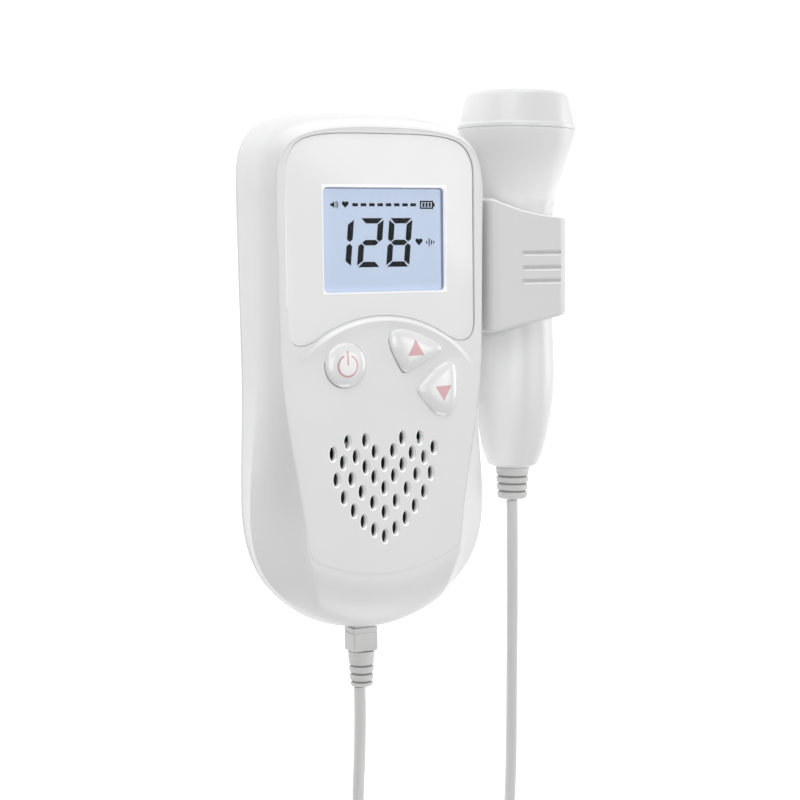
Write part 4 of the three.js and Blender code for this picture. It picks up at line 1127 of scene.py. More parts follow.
def holder_clip():
    """The clip: a strip with round rims, swept round three sides of the handle and tapering outward."""
    half = HOLDER_WALL / 2
    path = holder_path()
    left_top = (HOLDER_FACE - 1, HOLDER_TOP)
    bow = ((HOLDER_FACE + HOLDER_FAR) / 2, HOLDER_TIP_TOP)
    tops = bezier([left_top, bow, (HOLDER_FAR, HOLDER_TIP_TOP)], 60)
    lengths = [0.0]
    for a, b in zip(path, path[1:]):
        lengths.append(lengths[-1] + (b - a).length)
    points = []
    for i, spot in enumerate(path):
        along = (path[min(i + 1, len(path) - 1)] - path[max(i - 1, 0)]).normalized()
        out = Vector((along.y, -along.x)) * (-1)
        tip = min(lengths[i], lengths[-1] - lengths[i])
        short = 1 - min(1, tip / CLIP_CORNER)
        pull = CLIP_CORNER * (1 - math.sqrt(max(0, 1 - short**2)))
        thinned = 1 - min(1, tip / (THIN_REACH * half))
        thin = half * max(THIN_SHARE, math.sqrt(max(0, 1 - thinned**2)))
        high = min(tops, key=lambda p: abs(p.x - spot.x)).y - pull
        outward = (spot.x - HOLDER_FACE) / (HOLDER_FAR - HOLDER_FACE)
        low = between(HOLDER_BOTTOM, HOLDER_TIP_BOTTOM, outward) + pull
        section = rounded_box(high - low, 2 * thin, RIM_ROUND * thin, (high + low) / 2, 0, 5)
        for p in section:
            where = spot + out * p.y
            points.append((where.x, p.x, HOLDER_Z + where.y))
    clip = skin("holder_clip", points, len(section))
    edit_all(clip, merge_doubles, face_outward)
    return clip


def holder_base():
    """The foot of the clip: a wedge that lies along the flank of the case."""
    foot = HOLDER_Z - HOLDER_HALF
    upper, lower = (
        (between(HOLDER_FACE, BACK["half"] + GAP, inwards) + GAP, up * SEAM_Z) for inwards, up in FLANK[1:3]
    )
    ring = [(HOLDER_FACE, SEAM_Z), (HOLDER_FACE + BASE_OUTLINE[0][0], SEAM_Z + BASE_RISE)]
    ring += [(HOLDER_FACE + out, foot + up) for out, up in BASE_OUTLINE]
    ring += [tuple(p) for p in bezier([ring[-1], (lower[0], foot), lower], 10)[1:]]
    ring += [upper]
    low, high = BASE_BELOW_TOP - HOLDER_TOP, -HOLDER_BOTTOM - BASE_ABOVE_BOTTOM
    wedge = slab("clip_base", [Vector(p) for p in ring], low, high, BASE_EDGE)
    wedge.data.transform(Matrix.Rotation(math.pi / 2, 4, "X"))
    return wedge


# The probe, along its own axis from its contact face
PROBE_X = 50.68
PROBE_FACE_Y = 74.7
PROBE_Z = 16.9
PROBE_LEAN = 1.2
PROBE_LENGTH = 104.1
PROBE_STEPS = 96
CAP_WALL = 1.3
CAP_FACE = 0.3
RIM_RADIUS = 16.45
RIM_END = 10.65
HANDLE_WALL = 1.8
TAIL_HOLE = 2.6
# Distance from the contact face and radius, down the handle
HANDLE_LINE = [
    (11, 16.2),
    (14.7, 15.15),
    (19.4, 13.65),
    (24.2, 12.25),
    (29.2, 10.95),
    (35.2, 10.15),
    (44.2, 9.9),
    (53.2, 10),
    (63.2, 10.55),
    (71.2, 11.05),
    (78.2, 11.25),
    (84.7, 10.95),
    (90.2, 10.25),
    (95.2, 9.25),
    (99, 8.4),
    (102.2, 7.15),
]
# Radius and distance at the handle's foot: a bevel down to the sleeve
HANDLE_FOOT = [(7, 102.75), (5.3, 103.55), (4.9, 103.7)]
# Gap between the cap and the handle, and the small step at the handle's upper end
CAP_GAP = 0.05
HANDLE_STEP = (0.3, 0.25)


def probe_place(along=0):
    """The place of something on the probe's axis, so far from its contact face."""
    start = Matrix.Translation(Vector((PROBE_X, PROBE_FACE_Y, PROBE_Z)) * MM)
    lean = Matrix.Rotation(math.radians(-PROBE_LEAN), 4, "Z")
    down = Matrix.Rotation(math.pi / 2, 4, "X")
    return start @ lean @ down @ Matrix.Translation((0, 0, along * MM))


def round_corner(x, y, radius, start, finish, steps):
    """Profile points round a corner, its angles in degrees."""
    return [tuple(p) for p in arc(x, y, radius, math.radians(start), math.radians(finish), steps)]


def handle_profile():
    """The handle's closed wall, as (radius, distance from the contact face)."""
    top = RIM_END + CAP_GAP
    line = [tuple(p) for p in through(HANDLE_LINE, 5)]
    outer = [(RIM_RADIUS - HANDLE_STEP[0], top), (RIM_RADIUS - HANDLE_STEP[1], top + 0.1)]
    outer += [(radius, along) for along, radius in line]
    outer += HANDLE_FOOT
    foot = HANDLE_FOOT[-1][1]
    inner = [(radius - HANDLE_WALL, along) for along, radius in reversed(HANDLE_LINE[:-1:2])]
    inner = [(TAIL_HOLE, foot), (TAIL_HOLE, foot - HANDLE_WALL), *inner]
    inner.append((RIM_RADIUS - HANDLE_WALL, top))
    return [*outer, *inner, outer[0]]


def cap_profile():
    """The cap's closed wall, as (radius, distance from the contact face)."""
    face = [(0, CAP_FACE), (6, CAP_FACE), (11.6, CAP_FACE)]
    face += round_corner(11.95, 2.7, 2.4, -86, -14, 10)
    side = bezier([(14.32, 2.3), (14.75, 3.9), (15.4, 6.6), (15.9, 9.1)], 12)[1:]
    rim = [(15.95, 9.3), (16.05, 9.42)] + round_corner(16.15, 9.75, 0.3, -60, 0, 4)
    rim += round_corner(16.15, RIM_END - 0.2, 0.2, 0, 90, 4)
    inner = [(14.85, RIM_END), (12.9, CAP_WALL), (0, CAP_WALL)]
    return face + [tuple(p) for p in side] + rim + inner


# The sleeves: length, radius at the wide and at the narrow end, and distance of each groove from the
# wide end
PROBE_SLEEVE = (8.7, 4.65, 4.1)
PROBE_GROOVES = [2.5, 4.55, 6.65]
PROBE_SLEEVE_START = 103.8
# Radius and length of the neck that goes into the handle
PROBE_NECK = (2.3, 2.8)
PLUG_SLEEVE = (9.5, 3.6, 3)
PLUG_GROOVES = [3.9, 6.1, 8.3]
PLUG_SLEEVE_Y = -75.6
# The plug's place across the case
PLUG_SHIFT = 0.6
SLEEVE_STEPS = 64
WIDE_EDGE = 0.2
NARROW_EDGE = 0.35
# A groove's section: distance along the sleeve from its middle, and depth
GROOVE_SECTION = [(-0.5, 0), (-0.36, 0.12), (-0.2, 0.45), (0.2, 0.45), (0.36, 0.12), (0.5, 0)]


def sleeve_profile(sizes, grooves, neck=None):
    """A sleeve from its wide end at zero to its narrow end, with grooves and perhaps a neck."""
    length, radius, tip = sizes
    profile = [(0, -neck[1]), (neck[0], -neck[1]), (neck[0], 0)] if neck else [(0, 0)]
    profile += [(radius - WIDE_EDGE, 0), (radius, WIDE_EDGE)]
    for middle in grooves:
        around = between(radius, tip, middle / length)
        profile += [(around - depth, middle + aside) for aside, depth in GROOVE_SECTION]
    return profile + [(tip, length - NARROW_EDGE), (tip - NARROW_EDGE, length), (0, length)]


# Painted highlight along the arch's crest: how far inside the arch it runs, half its width, and its two ends
CREST_IN = 1.15
CREST_HALF = 0.45
CREST_LEFT = 20
CREST_RIGHT = 25
# Painted highlight beside the panel: how far out it runs, half its width, its upper and its lower end
EDGE_OUT = 0.35
EDGE_HALF = 0.3
EDGE_TOP = 46
EDGE_FOOT = 18
# The part of the face that holds the slots: half its width, its top and its foot
SLOTS_HALF = 18
SLOTS_TOP = -14
SLOTS_FOOT = -46
# Depths under the face: top and foot of a slot's painted bright edge, and top and middle of its painted lit
# wall
SLOT_RIM = (0.02, 0.4)
SLOT_WALL = (0.24, 0.9)
# Strength of the painted glow on the slots' walls and lips, standing in for the light that they give back
SLOT_PAINTED_GLOW = 0.4
# Heights above which the shell's brow gets a painted highlight and its left cheek painted shade, and where
# along the case they end
BROW_Z = 29
BROW_Y = 55
CHEEK_Z = 27
CHEEK_Y = -40
CHEEK_SHADE_COLOUR = (0.62, 0.62, 0.625)
# Height over which the painted highlights show
HIGHLIGHT_Z = 31


def paint_shell_light_and_shade(finish):
    """Paints light and shade on the shell: highlights where light gathers on it, shade where it falls off.

    These places are the crest of the arch, the recess's left edge, the edges and walls of the slots and
    the brow over the screen, which get painted highlights and a painted glow, and the left cheek, which
    gets painted shade.
    """
    x, y, z = finish.axes()
    toward_x, toward_y, _ = finish.facing()
    rise = y - ARCH_Y
    reach = finish.math("SQRT", x * x + rise * rise)
    # Painted highlights: the arch's crest, the strip beside the panel's left edge and the slots' edges
    crest = abs(reach - (ARCH_RADIUS - CREST_IN)).below(CREST_HALF, 0.25)
    crest = crest * (-x).below(CREST_LEFT, 6) * x.below(CREST_RIGHT, 2) * (-y).below(0)
    edge = abs(x + PANEL_HALF + EDGE_OUT).below(EDGE_HALF, 0.12)
    edge = edge * y.below(EDGE_TOP, 10) * (-y).below(-EDGE_FOOT, 1)
    slots = abs(x).below(SLOTS_HALF) * y.below(SLOTS_TOP) * (-y).below(-SLOTS_FOOT)
    rim = slots * (-toward_x).least(-toward_y).below(-0.3, 0.2) * z.below(DEPTH - SLOT_RIM[0], 0.01)
    white = crest.most(edge).most(rim)
    finish.tint(white * (1 - z.below(HIGHLIGHT_Z)) * 0.9, WHITE)
    # Painted glow on the slots' walls and lips, standing in for the light inside them
    wall = slots * toward_x.below(-0.2, 0.3) * z.below(DEPTH - SLOT_WALL[0], 0.02)
    wall = wall * (1 - z.below(DEPTH - SLOT_WALL[1], 0.9))
    lip = rim * (1 - z.below(DEPTH - SLOT_RIM[1], 0.05))
    finish.feed(finish.shader.inputs["Emission Color"], wall.most(lip))
    finish.constants(emission_strength=SLOT_PAINTED_GLOW)
    # Painted highlight on the brow over the screen, and painted shade on the left cheek
    brow = (-toward_y).below(-0.45, 0.25) * (1 - y.below(BROW_Y, 4)) * (1 - z.below(BROW_Z, 2))
    finish.tint(brow * 0.5, WHITE)
    cheek = toward_x.below(-0.5, 0.3) * (1 - z.below(CHEEK_Z, 4)) * (-y).below(-CHEEK_Y, 10)
    finish.tint(cheek * 0.5, CHEEK_SHADE_COLOUR)


# Steps of the rounded shoulder and of the rear flank, outside and inside
FRONT_STEPS = 16
FRONT_INNER_STEPS = 6
REAR_STEPS = 5
REAR_INNER_STEPS = 2
# The rounded crease: how far in from its line and how far down from the face
CREASE_BEVEL = [(0.6, 0), (0.25, 0.03), (0, 0.12)]
# How far one solid runs into another that it is joined to
OVERLAP = 0.5
# The slanted edge of each key's hole
KEY_HOLE_EDGE = 0.15


# Operators, one for each piece or group of like pieces


class DOPPLER_OT_front_shell(bpy.types.Operator):
    """Make the front shell with its ridge, screen recess, key holes and grille"""

    bl_idname = "doppler.front_shell"
    bl_label = "Front shell"

    def execute(self, context):
        case = context.scene.doppler_case
        wall, edge = case.wall / MM, case.slot_edge / MM
        head = SEAM_Z + GAP / 2
        crease = whole(CREASE_RING)
        rim = [(inset_ring(crease, inwards), DEPTH - down) for inwards, down in CREASE_BEVEL]
        outer = front_levels(0, head + LIP_RISE, FRONT_STEPS)[1:]
        inner = front_levels(wall, head + LIP_RISE, FRONT_INNER_STEPS)[::-1]
        shell = loft("case_front", rim + outer + seam_lip(wall, head) + inner)
        pad = slab("pad", panel_ring(POCKET_FLOOR), POCKET_Z - POCKET_FLOOR, DEPTH - wall + OVERLAP, 0)
        combine(shell, [pad], "UNION")
        under = DEPTH - wall - CUT_PAST
        keys = [punch("hole", ring, under, DEPTH, KEY_HOLE_EDGE) for ring in key_rings(KEY_GAP).values()]
        slots = [
            punch("slot", ellipse(x, y, SLOT_WIDTH, SLOT_HEIGHT, SLOT_STEPS), under, DEPTH, edge)
            for x, y in slot_places()
        ]
        combine(shell, [*keys, *slots, block("port", *PLUG_HOLE), block("key_slot", *HOLDER_SLOT)])
        combine(shell, [ridge(case.ridge_rise / MM)], "UNION")
        combine(shell, [pocket_cutter()])
        combine(shell, [block("glass_hole", *GLASS_HOLE)])
        shade(shell, 30)
        finish = moulded("moulded_case", case.colour, 0.34)
        paint_shell_light_and_shade(finish)
        finish_piece(shell, finish.done(), "case", ["front_shell"])
        return {"FINISHED"}


# The rear shell: walls round the bay, the door's ledge with its tongue slots, and the screw posts
BAY_WALL = 1.2
LEDGE_HALF = 19.2
LEDGE_TOP = 67.5
LEDGE_WALL = 1.6
RECESS_TOP = 69
TONGUE_X = 10
TONGUE_HALF = 3.3
TONGUE_DEPTH = 1.3
POST_WIDTH = 7
WELL_WIDTH = 5
WELL_TOP = 13.6
BORE_WIDTH = 2.6
BORE_FOOT = 13
BORE_TOP = 23


def screw_rounds(name, width, low, high, steps=32):
    """An upright round at each screw's place."""
    return [slab(name, ellipse(x, y, width, width, steps), low, high, 0) for x, y in SCREW_PLACES]


class DOPPLER_OT_rear_shell(bpy.types.Operator):
    """Make the rear shell with its battery bay, door recess and screw wells"""

    bl_idname = "doppler.rear_shell"
    bl_label = "Rear shell"

    def execute(self, context):
        case = context.scene.doppler_case
        wall = case.wall / MM
        head = SEAM_Z - GAP / 2
        inner = rear_levels(wall, head - LIP_RISE, REAR_INNER_STEPS)[::-1]
        outer = rear_levels(0, head - LIP_RISE, REAR_STEPS)
        shell = loft("case_rear", inner + seam_lip(wall, head)[::-1] + outer)

        door_low, door_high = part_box("battery_door")
        bay_low, bay_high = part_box("contact_negative")[0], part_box("contact_bridge")[1]
        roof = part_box("battery_cell_left")[1].z / MM + GAP
        ledge_z = DOOR_TOP + GAP
        tongue_foot = door_low.y / MM
        bay = [bay_low.x / MM - GAP, bay_high.x / MM + GAP, bay_low.y / MM - GAP, bay_high.y / MM + GAP]
        side, low, high = bay[1] + BAY_WALL, bay[2] - BAY_WALL, bay[3] + BAY_WALL
        bay_wall = block("bay_wall", -side, side, low, high, wall / 2, roof + BAY_WALL)
        ledge_foot, ledge_head = tongue_foot - wall, ledge_z + LEDGE_WALL
        ledge = block("ledge", -LEDGE_HALF, LEDGE_HALF, ledge_foot, LEDGE_TOP, wall / 2, ledge_head)
        combine(bay_wall, [ledge], "UNION")
        combine(bay_wall, screw_rounds("post", POST_WIDTH, wall / 2, POST_TOP), "UNION")
        within = loft("within", rear_levels(0, POST_TOP + CUT_PAST, REAR_STEPS))
        combine(bay_wall, [within], "INTERSECT")
        combine(shell, [bay_wall], "UNION")

        door_side = door_high.x / MM + GAP
        recess = block("recess", -door_side, door_side, DOOR_FOOT - GAP, RECESS_TOP, -CUT_PAST, ledge_z)
        wells = screw_rounds("well", WELL_WIDTH, -CUT_PAST, WELL_TOP)
        combine(shell, [recess, *wells, block("port", *PLUG_HOLE), block("key_slot", *HOLDER_SLOT)])
        combine(shell, [block("bay", *bay, -CUT_PAST, roof)])
        bores = screw_rounds("bore", BORE_WIDTH, BORE_FOOT, BORE_TOP, 20)
        for x in (-TONGUE_X, TONGUE_X):
            left, right, top = x - TONGUE_HALF, x + TONGUE_HALF, bay[2] + CUT_PAST
            slot = block("tongue_slot", left, right, tongue_foot - GAP, top, wall, ledge_z + TONGUE_DEPTH)
            bores.append(slot)
        combine(shell, bores)
        shade(shell, 30)
        finish = moulded("moulded_back", case.colour, 0.36)
        finish_piece(shell, finish.done(), "case", ["rear_shell"])
        return {"FINISHED"}


class DOPPLER_OT_battery_door(bpy.types.Operator):
    """Round the edges of the battery door and give it its finish"""

    bl_idname = "doppler.battery_door"
    bl_label = "Battery door"

    def execute(self, context):
        door = soften("battery_door", "door_panel", 0.15)
        finish = moulded("moulded_door", context.scene.doppler_case.colour, 0.36)
        finish_piece(door, finish.done(), "door", ["battery_door"])
        return {"FINISHED"}


def clear_plastic():
    """The clear window: see-through, with a glossy face and faint dust."""
    finish = Finish("clear_window", (0.2, 0.22, 0.25), roughness=0.03, ior=1.49)
    dust = finish.noise(0.6, 3).below(0.3, 0.05)
    finish.tint(dust, (0.6, 0.62, 0.65))
    finish.feed(finish.shader.inputs["Alpha"], dust * 0.02 + 0.03)
    return finish.done()


# Widths of the shadow that the frame throws on the display's right side and on its top
SHADOW_RIGHT = 0.6
SHADOW_TOP = 0.4
DISPLAY_GLOW = 0.24


def lit_display(colour):
    """The lit display: an even blue with soft patches, fine cells and the frame's shadow."""
    finish = Finish("lit_display", colour, roughness=0.3)
    x, y, _ = finish.axes()
    glow = finish.noise(16, 1)
    finish.tint(glow.below(0.5, 0.25) * 0.5, shaded(colour, 0.96))
    top = WINDOW["y"] + WINDOW["height"] / 2
    right = WINDOW["x"] + WINDOW["width"] / 2
    shadow = (1 - x.below(right - SHADOW_RIGHT, 0.12)).most(1 - y.below(top - SHADOW_TOP, 0.12))
    finish.tint(shadow, (0.16, 0.19, 0.3))
    fine = finish.noise(0.18, 1)
    finish.tint(fine * 0.25, shaded(colour, 0.95))
    finish.feed(finish.shader.inputs["Emission Color"], finish.colour)
    finish.constants(emission_strength=DISPLAY_GLOW)
    return finish.done()


# Width of the white border at the window's sides, print that also stands for the painted highlight of the
# window's edge, mean width at its top and foot, and how far the latter two are shifted upward
BORDER_SIDE = 0.3
BORDER_ENDS = 0.52
BORDER_SHIFT = 0.16
# Strength of the painted glow on the opening's wall, standing in for the light that it gives back
WALL_PAINTED_GLOW = 0.3


def print_border_and_highlights(finish):
    """Prints the white border round the window, wider at its top, as print and painted highlight, and
    whitens the opening's wall with painted light and a painted glow.
    """
    x, y, z = finish.axes()
    aside = abs(x - WINDOW["x"]) - (WINDOW["width"] / 2 + BORDER_SIDE)
    above = abs(y - WINDOW["y"] - BORDER_SHIFT) - (WINDOW["height"] / 2 + BORDER_ENDS)
    inside = aside.most(above)
    # The white band is print and a painted highlight of the window's edge; the wall gets painted white and a
    # painted glow
    finish.tint(inside.below(0, 0.12), WHITE)
    wall = inside.below(0.1) * z.below(PANEL_Z - 0.1)
    finish.feed(finish.shader.inputs["Emission Color"], wall)
    finish.constants(emission_strength=WALL_PAINTED_GLOW)


# The panel's gap to the recess all round, the window's to the panel, and the rounding of their edges
PANEL_CLEAR = 0.06
WINDOW_CLEAR = 0.05
OPENING_EDGE = 0.12
PLATE_EDGE = 0.1


class DOPPLER_OT_screen(bpy.types.Operator):
    """Make the screen surround, the clear window and the lit display with its figures"""

    bl_idname = "doppler.screen"
    bl_label = "Screen"

    def execute(self, context):
        screen = context.scene.doppler_screen
        surround = slab("screen_surround", panel_ring(GAP - PANEL_CLEAR), PANEL_UNDER, PANEL_Z, PLATE_EDGE)
        opening = punch("opening", window_ring(0), PANEL_UNDER - CUT_PAST, PANEL_Z, OPENING_EDGE)
        combine(surround, [opening])
        shade(surround)
        gloss = moulded("gloss_surround", screen.panel_colour, 0.1, grain=0.0008, coat=0.6)
        print_border_and_highlights(gloss)
        finish_piece(surround, gloss.done(), "case", ["lens_panel"])

        window_top = PANEL_Z - WINDOW_CLEAR
        window = slab("window_pane", window_ring(-WINDOW_CLEAR), PANEL_UNDER, window_top, PLATE_EDGE)
        shade(window)
        finish_piece(window, clear_plastic(), "case", ["display_window"])

        glass = soften("lcd_glass", "display_glass", 0.1)
        finish_piece(glass, lit_display(screen.display_colour), "case", ["lcd_glass"])

        figures = display_figures(screen.figure_height / MM)
        ink = moulded("figure_ink", screen.figure_colour, 0.5, grain=0.0005)
        ink.constants(specular_ior_level=0.08)
        finish_piece(figures, ink.done(), "case", [])
        return {"FINISHED"}


# Marks on the keys: the power sign's middle, radius, half its line and half its gap
POWER_MARK = (-11.35, 2.4)
POWER_MARK_RADIUS = 2.7
POWER_MARK_STROKE = 0.24
POWER_MARK_GAP = 0.95
# The power sign's upright bar: how far its middle lies over the sign's, and half its length
POWER_BAR = (2.0, 1.85)
# The clockwise corners of each arrow
ARROWS = {
    "up": [(8.3, 8.5), (10.77, 4.39), (6.01, 4.31)],
    "down": [(16.57, -7.86), (14.03, -3.99), (18.93, -3.79)],
}
# Height over which a key takes print
MARK_Z = 33.4


def print_mark(finish, name, colour):
    """Prints a key's mark: a power sign or an arrow."""
    x, y, z = finish.axes()
    if name == "power":
        right, up = x - POWER_MARK[0], y - POWER_MARK[1]
        distance = finish.math("SQRT", right * right + up * up)
        ring = abs(distance - POWER_MARK_RADIUS).below(POWER_MARK_STROKE)
        gap = abs(right).below(POWER_MARK_GAP) * (1 - up.below(0))
        bar = abs(right).below(POWER_MARK_STROKE) * abs(up - POWER_BAR[0]).below(POWER_BAR[1])
        mark = (ring * (1 - gap)).most(bar)
    else:
        corners = [Vector(corner) for corner in ARROWS[name]]
        mark = 1
        for a, b in zip(corners, corners[1:] + corners[:1]):
            side = (b - a).normalized()
            inside = (x - a.x) * side.y - (y - a.y) * side.x
            mark = (1 - inside.below(0)) * mark
    worn_ink = finish.noise(0.3, 2).below(0.62, 0.2) * 0.12 + 0.88
    finish.tint(mark * (1 - z.below(MARK_Z)) * worn_ink, colour)


class DOPPLER_OT_keys(bpy.types.Operator):
    """Make the three domed keys with their printed marks"""

    bl_idname = "doppler.keys"
    bl_label = "Keys"

    def execute(self, context):
        screen = context.scene.doppler_screen
        flanges = key_rings(FLANGE_SIZE)
        for name, ring in key_rings(0).items():
            middle = sum(ring, Vector((0, 0))) / len(ring)
            levels = []
            for i in range(KEY_LEVELS + 1):
                reach = math.sin(math.pi / 2 * (i + KEY_START) / (KEY_LEVELS + KEY_START))
                height = KEY_EDGE_Z + (KEY_TOP_Z - KEY_EDGE_Z) * (1 - reach**KEY_CROWN) ** (1 / KEY_FULLNESS)
                levels.append(([middle.lerp(p, reach) for p in ring], height))
            flange = flanges[name]
            levels += [(ring, FLANGE_TOP), (flange, FLANGE_TOP), (flange, FLANGE_TOP - FLANGE_SIZE)]
            key = loft(name + "_key", levels)
            shade(key, 40)
            finish = moulded("gloss_" + name, screen.key_colour, 0.2, grain=0.0008, coat=0.4)
            # Painted shade: each key darker towards its lower part
            low = finish.axes()[1].below(middle.y - 1, 5)
            finish.tint(low * 0.5, shaded(screen.key_colour, 0.8))
            print_mark(finish, name, screen.mark_colour)
            finish_piece(key, finish.done(), name + "_key", [name + "_button"])
        return {"FINISHED"}


# Painted shade in the grip's grooves and painted highlight on the lip under each: offset up the case, half
# its width, softness, share and colour
GRIP_GROOVE_SHADE = (0.05, 0.32, 0.1, 0.6, (0.42, 0.42, 0.42))
GRIP_LIP_HIGHLIGHT = (-0.68, 0.14, 0.08, 0.9, WHITE)
# Where that paint ends: under the face, and inside the grooves' left and right ends
GRIP_FACE_DEPTH = 0.7
GRIP_LEFT_IN = 0.6
GRIP_RIGHT_IN = 0.1
# Width of the painted highlight along the holder's top rim
TOP_RIM_HIGHLIGHT = 0.55


def paint_grip_shade_and_highlights(finish):
    """Paints shade into the holder's three grooves and painted highlights on their lower lips and on the rim
    along its top.
    """
    x, y, z = finish.axes()
    left, right = GRIP_X - GRIP_LENGTH / 2 + GRIP_LEFT_IN, GRIP_X + GRIP_LENGTH / 2 - GRIP_RIGHT_IN
    front = 1 - z.below(HOLDER_Z + HOLDER_HALF - GRIP_FACE_DEPTH)
    front = front * (1 - x.below(left, 0.6)) * x.below(right, 0.1)
    # Painted shade in each groove and painted highlight on the lip under it
    for groove in GRIP_GROOVES:
        for offset, half, softness, share, colour in (GRIP_GROOVE_SHADE, GRIP_LIP_HIGHLIGHT):
            finish.tint(abs(y - (groove + offset)).below(half, softness) * front * share, colour)
    # Painted highlight along the top rim
    away = 1 - (x - (HOLDER_FACE - 1)) * (1 / (HOLDER_FAR - HOLDER_FACE + 1))
    top = away * away * (HOLDER_TOP - HOLDER_TIP_TOP) + HOLDER_TIP_TOP
    finish.tint((top - y).below(TOP_RIM_HIGHLIGHT, 0.15) * 0.95, WHITE)


class DOPPLER_OT_holder(bpy.types.Operator):
    """Make the clip that holds the probe at the side of the case"""

    bl_idname = "doppler.holder"
    bl_label = "Probe holder"

    def execute(self, context):
        case = context.scene.doppler_case
        clip = holder_clip()
        combine(clip, [holder_base()], "UNION")
        combine(clip, [block("clip_key", *HOLDER_KEY)], "UNION")
        face = HOLDER_Z + HOLDER_HALF
        grooves = []
        for y in GRIP_GROOVES:
            ring = rounded_box(GRIP_LENGTH, GRIP_WIDTH, GRIP_ROUND, GRIP_X, y)
            grooves.append(punch("groove", ring, face - GRIP_DEPTH, face, GRIP_EDGE))
        combine(clip, grooves)
        shade(clip, 40)
        finish = moulded("moulded_clip", case.clip_colour, 0.38)
        paint_grip_shade_and_highlights(finish)
        finish_piece(clip, finish.done(), "case", ["probe_holder"])
        return {"FINISHED"}


# How far up the case the handle's left side gets a painted highlight, and the ends of the painted lit band
# over the holder
HANDLE_LIT_TOP = 25
HANDLE_LIT_BAND = (44, 50)


def paint_handle_highlights(finish):
    """Paints highlights on the handle's left side beside the case and on the band over the holder."""
    y = finish.axes()[1]
    left = finish.facing()[0].below(-0.55, 0.35) * y.below(HANDLE_LIT_TOP, 10)
    band = (-y).below(-HANDLE_LIT_BAND[0], 2) * y.below(HANDLE_LIT_BAND[1], 10)
    # Painted highlights: the handle's left side and the band over the holder
    finish.tint(left.most(band) * 0.9, WHITE)


class DOPPLER_OT_probe(bpy.types.Operator):
    """Make the probe's handle and the cap with its contact face"""

    bl_idname = "doppler.probe"
    bl_label = "Probe"

    def execute(self, context):
        case = context.scene.doppler_case
        place = probe_place()
        handle = lathe("probe_grip", handle_profile(), PROBE_STEPS, place)
        finish = moulded("moulded_grip", case.colour, 0.33)
        paint_handle_highlights(finish)
        finish_piece(handle, finish.done(), "probe", ["probe_handle"])
        cap = lathe("probe_head", cap_profile(), PROBE_STEPS, place)
        finish = moulded("moulded_head", case.colour, 0.3)
        finish_piece(cap, finish.done(), "probe", ["probe_cap"])
        return {"FINISHED"}


# Half the width of the painted shade in a sleeve's groove, and its colour
GROOVE_HALF = 0.24
SLEEVE_GROOVE_SHADE = (0.12, 0.12, 0.12)
# The plug's collar: the painted shadow in front of it and the painted highlight on its edge, and half their
# widths
COLLAR_SHADOW_Y = -67.2
COLLAR_SHADOW_HALF = 0.7
COLLAR_HIGHLIGHT_Y = -68.3
COLLAR_HIGHLIGHT_HALF = 0.16


def shade_sleeve_grooves(finish, place, grooves):
    """Paints shade into the grooves of a sleeve that starts at a place and points down its z axis."""
    start, along = place.translation / MM, place.to_3x3() @ Vector((0, 0, 1))
    x, y, z = finish.axes()
    reach = (x - start.x) * along.x + (y - start.y) * along.y + (z - start.z) * along.z
    for middle in grooves:
        # Painted shade in each groove
        finish.tint(abs(reach - middle).below(GROOVE_HALF, 0.1) * 0.75, SLEEVE_GROOVE_SHADE)


class DOPPLER_OT_sleeves(bpy.types.Operator):
    """Make the plug and the ribbed sleeves at both ends of the cord"""

    bl_idname = "doppler.sleeves"
    bl_label = "Plug and sleeves"

    def execute(self, context):
        jacket = context.scene.doppler_cord.colour
        probe_end = probe_place(PROBE_SLEEVE_START)
        tail = lathe(
            "probe_sleeve", sleeve_profile(PROBE_SLEEVE, PROBE_GROOVES, PROBE_NECK), SLEEVE_STEPS, probe_end
        )
        finish = moulded("rubber_probe_sleeve", jacket, 0.5)
        shade_sleeve_grooves(finish, probe_end, PROBE_GROOVES)
        finish_piece(tail, finish.done(), "probe", ["probe_relief"])

        plug_end = Matrix.Translation(Vector((PLUG_SHIFT, PLUG_SLEEVE_Y, SEAM_Z)) * MM)
        plug_end = plug_end @ Matrix.Rotation(math.pi / 2, 4, "X")
        sleeve = lathe("plug_sleeve", sleeve_profile(PLUG_SLEEVE, PLUG_GROOVES), SLEEVE_STEPS, plug_end)
        finish = moulded("rubber_plug_sleeve", jacket, 0.5)
        shade_sleeve_grooves(finish, plug_end, PLUG_GROOVES)
        finish_piece(sleeve, finish.done(), "plug", ["plug_relief"])

        plug = soften("plug_body", "cord_plug_block", 0.25)
        plug.data.transform(Matrix.Translation((PLUG_SHIFT * MM, 0, 0)))
        finish = moulded("moulded_plug", jacket, 0.4)
        y = finish.axes()[1]
        # Painted shadow in front of the collar and painted highlight on its edge
        shadow = abs(y - COLLAR_SHADOW_Y).below(COLLAR_SHADOW_HALF, 0.1)
        finish.tint(shadow * 0.4, shaded(jacket, 0.6))
        finish.tint(abs(y - COLLAR_HIGHLIGHT_Y).below(COLLAR_HIGHLIGHT_HALF, 0.1) * 0.8, WHITE)
        finish_piece(plug, finish.done(), "plug", ["plug_body"])
        return {"FINISHED"}


# The cord
COIL = {"x": 30.9, "y": -157, "middle": 17.5, "pitch": 3.75, "turns": 7.5, "floor": 2.5}
COIL_STEPS = 24
# Straight length at each end of the coil
COIL_END = 3.2
# Rounding of the cord's section, and the length of the solid sleeve that it leaves
CORD_ROUNDING = 6
RELIEF_LENGTH = 8.5
